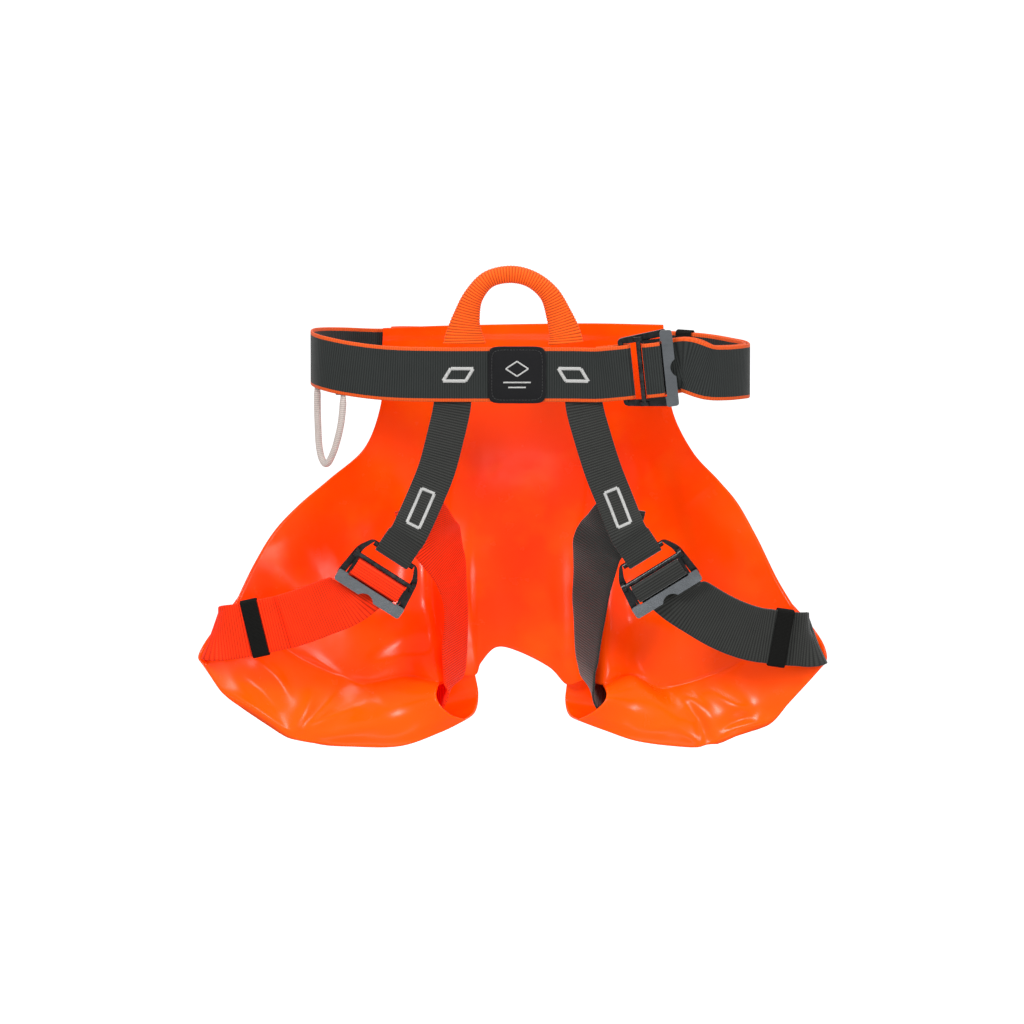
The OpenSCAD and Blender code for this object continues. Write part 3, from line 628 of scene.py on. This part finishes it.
# folds: (x, z) points, height, width, crisp
for line, height, width, crisp in (
    ([(-230, -333), (-204, -350), (-176, -371)], 4.5, 6, True),
    ([(-206, -309), (-190, -326), (-178, -342)], 4.0, 7, True),
    ([(-222, -318), (-200, -334), (-186, -352)], -3.0, 7, False),
    ([(-176, -369), (-155, -361), (-134, -354), (-116, -346)], 4.0, 6, True),
    ([(-178, -371), (-166, -352), (-160, -336)], 3.0, 5, True),
    ([(-174, -372), (-150, -349), (-138, -338)], -2.4, 6, False),
    ([(-160, -374), (-126, -366), (-98, -362)], 2.4, 7, False),
    ([(-170, -305), (-136, -330), (-102, -352)], 2.2, 4, True),
    ([(-150, -318), (-118, -340), (-92, -346)], -1.6, 6, False),
    ([(-122, -326), (-84, -312), (-40, -303)], 3.2, 9, False),
    ([(-112, -280), (-86, -274), (-60, -268)], 3.0, 14, False),
    ([(78, -316), (102, -335), (128, -354)], 4.0, 8, True),
    ([(96, -314), (122, -336), (136, -344)], -2.4, 9, False),
    ([(140, -347), (150, -358), (157, -378)], -4.5, 5, False),
    ([(131, -338), (146, -346), (160, -362)], 3.4, 5, True),
    ([(150, -335), (178, -347), (204, -358)], 4.5, 8, True),
    ([(161, -380), (177, -365), (209, -358)], 3.4, 4, True),
    ([(168, -366), (186, -356), (200, -352)], -2.6, 5, False),
    ([(110, -368), (132, -364), (150, -378)], 2.6, 6, True),
    ([(76, -292), (104, -282), (132, -290)], 3.0, 13, False),
    ([(60, -262), (84, -254), (112, -262)], 2.6, 12, False),
    ([(-190, -218), (-176, -250), (-150, -285)], 2.4, 16, False),
    ([(150, -182), (178, -215), (196, -250)], 2.4, 16, False),
    ([(-98, -160), (-88, -190), (-84, -220)], 2.0, 14, False),
    ([(96, -150), (104, -180), (116, -206)], 2.2, 12, False),
    ([(-30, -230), (-26, -270), (-32, -310)], 1.6, 14, False),
):
    lift += ridge(verts, line, height, width, crisp=crisp)
lift = np.where(front, lift, REAR_FOLDS * lift)
# the sleeve's lower weld and the lower welds of the tunnels
weld_z = [(-110, -107), (0, -107), (130, -104)]
lift += np.where(front & (verts[:, 1] > BACK_Y), ridge(verts, weld_z, 0.5, 1.2, ends=False), 0)
for line in (weld_left, weld_right):
    lift -= ridge(verts, [(q[0], q[2]) for q in spline(line, 6)], 0.7, 1.6, ends=False) * front
# hem along the top edge
hem = np.clip((verts[:, 2] - HEM_Z) / 1.5, 0, 1) * (verts[:, 1] > BACK_Y)
lift += HEM_HEIGHT * hem
verts = verts + normals * lift[:, None]
seat_piece = mesh_object("seat", verts * MM, faces, material=PVC)
solid = seat_piece.modifiers.new("thickness", "SOLIDIFY")
solid.thickness, solid.offset = SHEET_T * MM, 0
piece(seat_piece, "root", "seat_pvc", "seat_sheet", "seat_tunnel_left", "seat_tunnel_right")

sleeve_path = [q + UP for q in [
    [-97, 110, -76], [-85, 112, -76], [-40, 114.4, -77], [0, 115.4, -77], [64, 114.4, -76],
    [96, 112.6, -76]]]
SLEEVE_W = 51
sleeve = band("belt_sleeve_sheet", sleeve_path, SLEEVE_W, SHEET_T, PVC)
piece(sleeve, "root", "seat_pvc", "belt_sleeve")

# ---- waist belt ----

belt_path = (
    [local_web(WAIST, *q) for q in
     [[-36, -3.4], [-24, -3.8], [-16, -3.8], [-11, -3], [-9.4, 0], [-11, 3], [-16, 3.8], [-24, 3.2],
      [-38, 0.4]]]
    + [q + UP for q in [
        [45, -4.4, -73], [0, -4, -73], [-60, -4, -73], [-100, -3, -72], [-130, 1, -69], [-150, 10, -66],
        [-159, 25, -65], [-160, 44, -65], [-153, 66, -67], [-137, 87, -70], [-113, 102, -73], [-85, 109, -74],
        [-40, 111, -75], [0, 112, -75], [64, 111, -74], [100, 109, -74], [115, 106, -75], [127, 100, -75],
        [139, 94, -75], [151, 88, -75], [163, 80, -75.5], [174, 69, -76], [184, 54, -76], [187, 40, -76],
        [183, 28, -75], [170, 15, -74], [156, 5, -72]]]
    + [local_web(WAIST, *q) for q in [
        [36, -6], [24, -6.4], [12, -6.4], [4, -6], [1.4, -3], [1.3, 0], [1.3, 1.8]]])
belt = band("waist_belt_webbing", belt_path, WEB_W, WEB_T, BELT_WEB)
piece(belt, "root", "webbing_dark", "waist_belt")
tail_path = (
    [local_web(WAIST, *q) for q in
     [[SLOT_U, 1.8], [SLOT_U, 0], [SLOT_U + 1.4, -2.6], [18.5, -3.2], [26, -3.2], [34, -3.2]]]
    + [q + UP for q in [
        [157, 1, -72], [172.6, 11, -74], [185.8, 26, -75], [190, 40, -76], [187, 55.6, -76],
        [176.4, 71.2, -76], [165, 82.4, -75.5], [152.2, 90.4, -75], [140.2, 96.4, -75], [128.2, 102.4, -75]]])
tail = band("waist_tail_webbing", tail_path, WEB_W, WEB_T, BELT_WEB)
piece(tail, "root", "webbing_dark", "waist_tail")

# ---- wraps over the sliders' bars ----

WRAP_LOW, LIP_N, LIP_T = 2.4, 3.6, 2.4
WRAP_TOP = LIP_N + LIP_T + 0.45 + WEB_T / 2


def wrap(name, place, material, body, slot, node):
    path = [local_web(place, *q) for q in [
        [SLOT_U, WRAP_LOW], [SLOT_U, LIP_N + 1], [SLOT_U - 0.6, WRAP_TOP - 0.9], [11, WRAP_TOP],
        [7.5, WRAP_TOP], [4, WRAP_TOP], [1.8, WRAP_TOP - 0.9], [1.3, LIP_N + 1], [1.3, WRAP_LOW]]]
    return piece(band(name, path, WEB_W, WEB_T, material), body, slot, node)


wrap("waist_wrap_webbing", WAIST, BELT_WEB, "waist_slider", "webbing_dark", "waist_wrap")
wrap("left_wrap_webbing", LEFT, RED_WEB, "left_slider", "webbing_red", "leg_wrap_left")
wrap("right_wrap_webbing", RIGHT, DARK_WEB, "right_slider", "webbing_dark", "leg_wrap_right")

# ---- risers ----


def riser_end(place):
    return [local_web(place, *q) for q in [
        [-40, 5.2], [-30, 4.2], [-22, 3.9], [SEWN_U, 3.8], [SEWN_U + 2.9, 2.6], [SEWN_U + 3.9, 0],
        [SEWN_U + 2.9, -2.6], [SEWN_U, -3.8], [-22, -3.4], [-32, -1.4]]]


SIDEWAYS = [1, 0, 0]
left_riser_path = [q + SIDEWAYS for q in [
    [-47, 1.6, -72], [-47, 1.5, -84], [-48, -1.5, -100], [-53, -7, -122], [-60, -12, -148], [-69, -17, -170]]
] + riser_end(LEFT)
right_riser_path = [q + SIDEWAYS for q in [
    [57, 1.6, -72], [57, 1.5, -84], [58, -1.5, -100], [64, -7, -122], [73, -12, -150], [82, -17, -172]]
] + riser_end(RIGHT)
for name, path, node in (("left_riser_webbing", left_riser_path, "riser_left"),
                         ("right_riser_webbing", right_riser_path, "riser_right")):
    piece(band(name, path, RISER_W, RISER_T, DARK_WEB), "root", "webbing_dark", node)

# ---- leg webbing ----

WEB_LEVEL = 0.45  # how far down its tunnel the webbing lies
TUNNEL_SHARE = 0.86  # and the share of its width that it keeps there
TUNNEL_STATIONS = (0.86, 0.76, 0.64, 0.52, 0.4, 0.28, 0.16, 0.06)


def tunnel_web(sides, s):
    """A path point of the webbing midway between a tunnel's layers."""
    tip, mouth, weld, fold, back_tip, back_mouth, back_weld = sides

    def at(t):
        rear = patch_at(back_tip, back_mouth, back_weld, fold, s, t)
        mid = (patch_at(tip, mouth, weld, fold, s, t) + rear) / 2
        return mid + np.array([0, 1, -TUNNEL_DROP]) / 2 * TUNNEL_BULGE * math.sin(math.pi * t)
    return list(at(WEB_LEVEL)) + list(unit(at(0.15) - at(0.85))) + [TUNNEL_SHARE]


def joined(place, drift, side):
    return local(place, JOIN_U, BACK_N, (JOIN_U - SLOT_U) * drift) + across(place, side) + [1]


left_leg_path = [q + [1] for q in [
    [-74, -8, -180, 0.87, 0, -0.5], [-67, -1, -197, 0.8, 0.3, -0.4], [-58, 11, -213, 0.7, 0.6, -0.3],
    [-52, 20, -227, 0.6, 0.8, -0.2], [-48, 27, -240, 0.5, 0.86, 0], [-46, 33, -254, 0.4, 0.9, 0],
    [-45, 38, -273, 0.4, 0.9, 0.1], [-46, 42, -297, 0.45, 0.88, 0.1], [-46, 45, -317, 0.4, 0.9, 0.1],
    [-47, 47, -331, 0.35, 0.92, 0.2], [-54, 48, -341, 0.15, 0.9, 0.4]]
] + [tunnel_web(left_sides, s) for s in TUNNEL_STATIONS] + [q + [1] for q in [
    [-240, 20, -287, 0.33, 0.25, 0.91], [-238.5, 12, -286, 0.33, 0.25, 0.91], [-229, 6, -283.5, 0.1, 0.1, 1],
    [-214, 3, -281, 0, 0, 1], [-198, 0, -277, 0, 0, 1], [-182, -3, -273, -0.1, 0, 1],
    [-166, -8, -267, -0.2, 0, 1], [-150, -13, -260, -0.35, 0, 0.94], [-138, -16.5, -255, -0.5, 0, 0.87]]
] + [joined(LEFT, LEFT_DRIFT, -1)]
right_leg_path = [q + [1] for q in [
    [87, -8, -180, -0.87, 0, -0.5], [80, -1, -196, -0.8, 0.3, -0.4], [69, 10, -213, -0.75, 0.55, -0.3],
    [66, 19, -229, -0.7, 0.7, -0.2], [64, 27, -246, -0.65, 0.76, 0], [62, 33, -266, -0.6, 0.8, 0],
    [61, 38, -285, -0.5, 0.86, 0.1], [60, 42, -308, -0.4, 0.9, 0.1], [60, 43, -320, -0.3, 0.92, 0.2],
    [62, 44, -333, -0.25, 0.92, 0.3], [69, 46, -343, -0.12, 0.88, 0.45]]
] + [tunnel_web(right_sides, s) for s in TUNNEL_STATIONS] + [q + [1] for q in [
    [243, 20, -290.5, -0.33, 0.25, 0.91], [241.5, 12, -290.5, -0.33, 0.25, 0.91],
    [233, 6, -289, 0.1, 0.05, 1],
    [222, 3, -288, 0.2, 0, 1], [208, 0, -285.5, 0.2, 0, 1], [194, -3, -283, 0.2, 0, 1],
    [178, -8, -277, 0.2, 0, 1], [163, -13, -269, 0.35, 0, 0.94], [149, -16.5, -260, 0.5, 0, 0.87]]
] + [joined(RIGHT, RIGHT_DRIFT, 1)]


def loose_end(path, count):
    """The strap's last points backwards, moved in front of it."""
    return [[q[0], q[1] + BACK_N - FRONT_N] + list(q[2:]) for q in path[:-count - 1:-1]]


def buckle_ribs(place, drift, points, side):
    path = [local_web(place, u, n, max(0, u - SLOT_U) * drift) for u, n in points]
    ribs = ribs_of(path, 3, (0, 1), 0)
    ribs[:, 3:6] *= side
    return ribs


def leg_webbing(name, place, drift, side, path, count, material, nodes_back, nodes_front):
    """The strap and its loose end, each one length of webbing that runs into the buckle."""
    rear = buckle_ribs(place, drift, [
        [1.3, 1.8], [1.3, -3], [3.6, BACK_N + 0.4], [12, BACK_N], [20, BACK_N]], side)
    strap = np.vstack([ribs_of(path, 3, (0, 1)), rear[::-1]])
    strap_piece = ribbon(name + "_leg_webbing", spline(strap, 3), WEB_W, WEB_T, material)
    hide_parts(*nodes_back)
    front_ribs = buckle_ribs(place, drift, [
        [SLOT_U, 1.8], [SLOT_U, -0.6], [16, FRONT_N + 0.4], [20, FRONT_N], [24, FRONT_N]], side)
    end_ribs = np.vstack([front_ribs, ribs_of(loose_end(path, count), 3, (1, 0))])
    tail_piece = ribbon(name + "_leg_tail_webbing", spline(end_ribs, 3), WEB_W, WEB_T, material)
    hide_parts(*nodes_front)
    for obj in (strap_piece, tail_piece):
        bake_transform(obj)


leg_webbing("left", LEFT, LEFT_DRIFT, -1, left_leg_path, 5, RED_WEB,
            ["leg_strap_left", "buckle_web_left"], ["leg_tail_left"])
leg_webbing("right", RIGHT, RIGHT_DRIFT, 1, right_leg_path, 7, DARK_WEB,
            ["leg_strap_right", "buckle_web_right"], ["leg_tail_right"])

# ---- tie-in loop ----

# x y z, half width, half depth
tie_path = [
    [-38, 0, -48.5, 17, 1.9], [-38, 0, -40, 14.5, 2.6], [-36.5, 0, -28, 11, 4.2], [-31, 0, -11, 8, 5.6],
    [-19, 0, 3, 7, 6], [-1, 0, 7.2, 7, 6], [16, 0, 3, 7, 6], [30, 0, -9, 8, 5.6],
    [38, 0, -27, 10.5, 4.2], [42, 0, -40, 12.5, 2.6], [43, 0, -48.5, 14, 1.9]]
tie = spline(tie_path, 60)
half_width, half_depth = tie[:, 3] * 0.97, tie[:, 4] * 0.95  # a little slimmer, so that the ribs stay inside
tie_loop = cord_tube("tie_in_loop_webbing", tie[:, :3], half_width, half_depth, np.array([0, 1.0, 0]), 28,
                     LOOP_WEB, ribs=0.06, rib_step=2.2)
piece(tie_loop, "tie_in", "webbing_orange", "tie_in_loop")
TAB_Y = -1.6
for side, x, w in (("left", -38, 34), ("right", 43, 28)):
    path = [[x, TAB_Y, z] + SIDEWAYS for z in (-52, -70, -92)]
    tab = ribbon("tie_in_" + side + "_tab", ribs_of(path, 10), w, WEB_T, LOOP_WEB)
    piece(tab, "root", "webbing_orange", "tie_in_tab_" + side)

# ---- gear loop ----

gear_a, gear_b = np.array([-135.0, 6, -95]), np.array([-156.0, 34, -91])
gear_path = [gear_a + (gear_b - gear_a) * q[0] - np.array([0, 0, q[1]]) for q in [
    [0, 0], [0.04, 12], [0.13, 25], [0.3, 40], [0.46, 50], [0.6, 56], [0.74, 57], [0.87, 52],
    [0.95, 42], [0.98, 28], [1, 14], [1, 0]]]
rise = np.array([0, 0, 8.0])  # the flattened ends run up behind the belt
gear = spline([gear_path[0] + rise] + gear_path + [gear_path[-1] + rise], 24)
GEAR_D = 5.4
wide = np.full(len(gear), GEAR_D / 2)
from_end = np.minimum(np.arange(len(gear)), np.arange(len(gear))[::-1])
thin = wide * np.clip(from_end / 30, 0.35, 1)
gear_dir = unit(np.cross(gear_b - gear_a, UP))
gear_loop = cord_tube("gear_loop_cord", gear, wide, thin, gear_dir, 20, CORD_WEB, ribs=0.03, rib_step=1.8)
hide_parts("gear_loop")
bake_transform(gear_loop)

# ---- keepers ----

KEEPER_W, KEEPER_GAP, KEEPER_WALL, KEEPER_CORNER = 14, 0.7, 1.2, 2.2
LAYER_STEP = 2.4  # from one layer of webbing to the next inside a keeper


def keeper(name, centre, along, w_hint, stack, shift, body, node):
    """An elastic ring round a stack of webbing along the given direction; w_hint is its longer side."""
    a = unit(np.array(along, float))
    w = unit(np.array(w_hint, float) - (np.array(w_hint, float) @ a) * a)
    n = np.cross(a, w)
    c = np.array(centre, float) + n * shift
    half_w, half_n = WEB_W / 2 + KEEPER_GAP + KEEPER_WALL / 2, stack / 2 + KEEPER_GAP + KEEPER_WALL / 2
    r = min(half_n, KEEPER_CORNER)
    outline = []
    for cx, cy, start in ((half_w - r, half_n - r, 0), (-half_w + r, half_n - r, 90),
                          (-half_w + r, -half_n + r, 180), (half_w - r, -half_n + r, 270)):
        for q in np.radians(start + np.linspace(0, 90, 7)):
            outline.append((cx + r * math.cos(q), cy + r * math.sin(q)))
    loop, flat = [], np.array(outline + outline[:1])
    for p, q in zip(flat[:-1], flat[1:]):
        m = max(1, int(np.linalg.norm(q - p) / 2))
        loop += [p + (q - p) * k / m for k in range(m)]
    loop = np.array(loop)
    out = unit(np.roll(loop, -1, axis=0) - np.roll(loop, 1, axis=0))
    out = np.stack([out[:, 1], -out[:, 0]], axis=1)
    t, edge = KEEPER_WALL / 2 * 0.9, KEEPER_W / 2
    section = [(-edge + 0.4, t), (-edge, 0), (-edge + 0.4, -t)]
    section += [(x, -t) for x in np.linspace(-edge + 2, edge - 2, 6)]
    section += [(edge - 0.4, -t), (edge, 0), (edge - 0.4, t)]
    section += [(x, t) for x in np.linspace(edge - 2, -edge + 2, 6)]
    v, uvs, around = [], [], 0.0
    for i, (p, o) in enumerate(zip(loop, out)):
        for s_a, s_n in section:
            q = p + o * s_n
            v.append((c + a * s_a + w * q[0] + n * q[1]) * MM)
            uvs.append((around, s_a * MM))
        around += float(np.linalg.norm(loop[(i + 1) % len(loop)] - p)) * MM
    m, k = len(loop), len(section)
    f = [(i * k + j, i * k + (j + 1) % k, (i + 1) % m * k + (j + 1) % k, (i + 1) % m * k + j)
         for i in range(m) for j in range(k)]
    return piece(mesh_object(name, v, f, uvs, KEEPER_WEB), body, "elastic_black", node)


keeper("waist_keeper_elastic", [139, 94, -75], [12, -6, 0], [0, 0, 1],
       WEB_T + LAYER_STEP, -LAYER_STEP / 2, "waist_keeper_body", "waist_keeper")
keeper("left_keeper_elastic", [-206, 1.5, -279], [16, -3, 4], [0, 0, 1], WEB_T, 0,
       "left_keeper", "leg_keeper_left")
keeper("right_keeper_elastic", [215, 1.5, -286.75], [-14, -3, 2.5], [0.2, 0, 1],
       WEB_T + LAYER_STEP, -LAYER_STEP / 2, "right_keeper", "leg_keeper_right")

# ---- buckles: the CAD solids, with soft edges and metal ----

frames = ("waist_buckle_frame", "leg_buckle_frame_left", "leg_buckle_frame_right")
sliders = (
    ("waist_buckle_slider", WAIST), ("leg_buckle_slider_left", LEFT), ("leg_buckle_slider_right", RIGHT))
LIP_GREY = colour(112, 116, 120)
finishes = [(name, BLACK_METAL) for name in frames]
finishes += [(name, metal(name + "_metal", colour(6, 6, 7), 0.26, 0.85, 0.1, LIP_GREY, place))
             for name, place in sliders]
finishes += [("gear_loop_tabs", DARK_WEB)]
for name, material in finishes:
    obj = nodes[name]
    obj.data.materials.clear()
    obj.data.materials.append(material)
    bevel = obj.modifiers.new("soft_edges", "BEVEL")
    bevel.width, bevel.segments = 0.0006, 3
    bevel.limit_method, bevel.angle_limit = "ANGLE", math.radians(40)


# ---- sewing ----

STITCH_SIDES = 6
# share of a stitch's length, and its height and thickness there in thread radii; the ends dip into the cloth
STITCH_SHAPE = ((0.0, -0.9, 0.5), (0.12, 0.1, 0.9), (0.5, 0.35, 1.0), (0.88, 0.1, 0.9), (1.0, -0.9, 0.5))


def stitches(name, runs, material, radius=0.3):
    """Thread stitches; each run is a start, an end and the outward normal."""
    v, f = [], []
    for start, end, normal in runs:
        start, end, n = (np.asarray(q, float) for q in (start, end, normal))
        n = unit(n)
        t = unit(end - start)
        side = unit(np.cross(n, t))
        base = len(v)
        for k, up_by, fat in STITCH_SHAPE:
            c = start + (end - start) * k + n * radius * up_by
            for j in range(STITCH_SIDES):
                a = 2 * math.pi * j / STITCH_SIDES
                v.append((c + (side * math.cos(a) + n * math.sin(a)) * radius * fat) * MM)
        f += [tuple(base + k for k in face) for face in tube_faces(len(STITCH_SHAPE), STITCH_SIDES)]
    return mesh_object(name, v, f, material=material)


def satin(points, normal, width, pitch=0.55):
    """Close zigzag stitches along a line of points."""
    runs = []
    p = np.asarray(points, float)
    for a, b in zip(p[:-1], p[1:]):
        t = unit(b - a)
        side = unit(np.cross(np.asarray(normal, float), t)) * width / 2
        count = max(2, int(np.linalg.norm(b - a) / pitch))
        for k in range(count):
            c = a + (b - a) * (k + 0.5) / count
            lean = t * pitch * 0.45
            runs.append((c - side - lean, c + side + lean, normal))
    return runs


def running(points, normal, stitch=2.4, gap=0.8):
    """A plain line of stitches along points."""
    p = np.asarray(points, float)
    d = run_length(p)
    runs, s = [], 0.0
    while s + stitch < d[-1]:
        at = [np.array([np.interp(q, d, p[:, k]) for k in range(3)]) for q in (s, s + stitch)]
        runs.append((at[0], at[1], normal))
        s += stitch + gap
    return runs


FRONT = (0, -1, 0)
TACK_STEP = 4.0  # longest straight run of satin stitches on a band
TACK_LIFT = 1.05  # from the belt's middle to its tacks' thread


def on_band(ribs, at, v_across, lift):
    """A point on the front of a band, at a distance from its start, and its outward normal."""
    c, w = ribs[:, :3], unit(ribs[:, 3:6])
    n = unit(np.cross(tangents(c), w))
    n = np.where(n[:, 1:2] > 0, -n, n)
    d = run_length(c)
    pick = [np.array([np.interp(at, d, q[:, k]) for k in range(3)]) for q in (c, w, n)]
    return pick[0] + pick[1] * v_across + unit(pick[2]) * lift, unit(pick[2])


def band_satin(ribs, outline, lift, width):
    """Satin stitches along an outline of (distance, across) points on the front of a band."""
    runs = []
    for (a0, v0), (a1, v1) in zip(outline[:-1], outline[1:]):
        steps = max(1, int(math.hypot(a1 - a0, v1 - v0) / TACK_STEP))
        spots = [on_band(ribs, a0 + (a1 - a0) * k / steps, v0 + (v1 - v0) * k / steps, lift)
                 for k in range(steps + 1)]
        for (p, n), (q, m) in zip(spots[:-1], spots[1:]):
            runs += satin([p, q], unit(n + m), width)
    return runs


BELT_LEAVES, FRONT_RIBS = 32, 24  # the rib where the belt leaves its sewn bar, and how many cross the front
front_belt = ribs_of(belt_path, 4)[BELT_LEAVES:BELT_LEAVES + FRONT_RIBS]
front_belt[:, 3:6] *= np.sign(front_belt[:, 5:6])
TACK_L, TACK_V = 9, 5  # half a belt tack's length and height
belt_tacks = []
for x, lean in ((-43, 3), (49, -3)):
    d = float(np.interp(-x, -front_belt[:, 0], run_length(front_belt[:, :3])))
    corners = ((1, -1), (-1, -1), (-1, 1), (1, 1), (1, -1))
    outline = [(d + i * TACK_L - j * lean, j * TACK_V) for i, j in corners]
    belt_tacks += band_satin(front_belt, outline, TACK_LIFT, 2.8)
piece(stitches("belt_tack_stitches", belt_tacks, GREY_THREAD), "root", "thread_grey", "belt_bar_tacks")


RISER_TACK = [(98, -5.5), (98, 5.5), (129, 5.5), (129, -5.5), (98, -5.5)]
riser_tacks = []
for path in (left_riser_path, right_riser_path):
    riser_tacks += band_satin(ribs_of(path, 8), RISER_TACK, RISER_T / 2 + 0.1, 2.6)
piece(stitches("riser_tack_stitches", riser_tacks, GREY_THREAD), "root", "thread_grey", "riser_bar_tacks")

# label: a padded patch with a sewn edge and a plain woven motif
LABEL_X, LABEL_Y, LABEL_Z = 4, -5.4, -73
LABEL_RINGS = (  # half size, and height in front of the belt
    (23.0, 0.0), (23.0, 0.7), (22.5, 1.15), (21.6, 1.25), (20.2, 0.95), (19.0, 1.2), (10.0, 1.3))
SEWN_RING = 4  # the ring that the edge stitches follow
CORNER_POWER = 0.26  # how square the patch is: 1 is round
AROUND = 64


def squared(value):
    return math.copysign(abs(value) ** CORNER_POWER, value)


patch = []
for half, up_by in LABEL_RINGS:
    for j in range(AROUND):
        a = 2 * math.pi * (j + 0.5) / AROUND
        cx, cz = squared(math.cos(a)), squared(math.sin(a))
        patch.append(((LABEL_X + half * cx) * MM, (LABEL_Y - up_by) * MM, (LABEL_Z + half * cz) * MM))
patch_uvs = [(q[0], q[2]) for q in patch]
label = mesh_object("label_woven_patch", patch, tube_faces(len(LABEL_RINGS), AROUND), patch_uvs, LABEL)
piece(label, "root", "label_black", "label_patch")
edge_line = []
for j in range(AROUND + 1):
    q = patch[SEWN_RING * AROUND + j % AROUND]
    edge_line.append((q[0] / MM, LABEL_Y - 1.15, q[2] / MM))
edge_runs = running(edge_line, FRONT, 1.8, 0.7)
piece(stitches("label_edge_stitches", edge_runs, BLACK_THREAD), "root", "label_black")


def motif_line(points):
    """Satin stitches through (x, z) points from the label's middle."""
    return satin([(LABEL_X + x, LABEL_Y - 1.35, LABEL_Z + z) for x, z in points], FRONT, 1.3, 0.4)


motif = motif_line([(0, 11), (9, 5), (0, -1), (-9, 5), (0, 11)])
for half, z in ((11, -6), (7, -10)):
    motif += motif_line([(-half, z), (half, z)])
piece(stitches("label_motif", motif, GREY_THREAD, radius=0.22), "root", "thread_grey")

# ---- floor and light ----

floor_mesh = bpy.data.meshes.new("floor")
FLOOR_Z, FLOOR_HALF = -0.95, 60
floor_corners = [(i * FLOOR_HALF, j * FLOOR_HALF, FLOOR_Z) for i, j in ((-1, -1), (1, -1), (1, 1), (-1, 1))]
floor_mesh.from_pydata(floor_corners, [], [(0, 1, 2, 3)])
floor = bpy.data.objects.new("floor", floor_mesh)
scene.collection.objects.link(floor)
floor_material, tree, shader = new_material("floor_pale")
shader.inputs["Base Color"].default_value = (0.9, 0.9, 0.9, 1)
shader.inputs["Roughness"].default_value = 0.9
shader.inputs["Specular IOR Level"].default_value = 0.1
shader.inputs["Emission Color"].default_value = (1, 1, 1, 1)
shader.inputs["Emission Strength"].default_value = 0.6
floor_mesh.materials.append(floor_material)
floor.visible_diffuse = floor.visible_glossy = False

world = bpy.data.worlds.new("studio")
world.use_nodes = True
background = world.node_tree.nodes["Background"]
background.inputs["Color"].default_value = (1, 1, 1, 1)
background.inputs["Strength"].default_value = 0.62
scene.world = world


def softbox(name, place, target, size_x, size_y, power):
    light = bpy.data.lights.new(name, "AREA")
    light.shape, light.size, light.size_y, light.energy = "RECTANGLE", size_x, size_y, power
    obj = bpy.data.objects.new(name, light)
    scene.collection.objects.link(obj)
    obj.location = place
    obj.rotation_mode = "QUATERNION"
    obj.rotation_quaternion = (Vector(place) - Vector(target)).to_track_quat("Z", "Y")


CENTRE = (0, 0.02, -0.2)
softbox("key", (-0.9, -1.3, 0.9), CENTRE, 0.4, 0.4, 19)
softbox("fill", (1.1, -1.3, 0.4), CENTRE, 0.35, 0.6, 13)
softbox("top", (0.1, 0.1, 1.3), CENTRE, 1.0, 0.5, 10)
softbox("low", (0.0, -1.3, -0.75), CENTRE, 0.6, 0.15, 1.2)
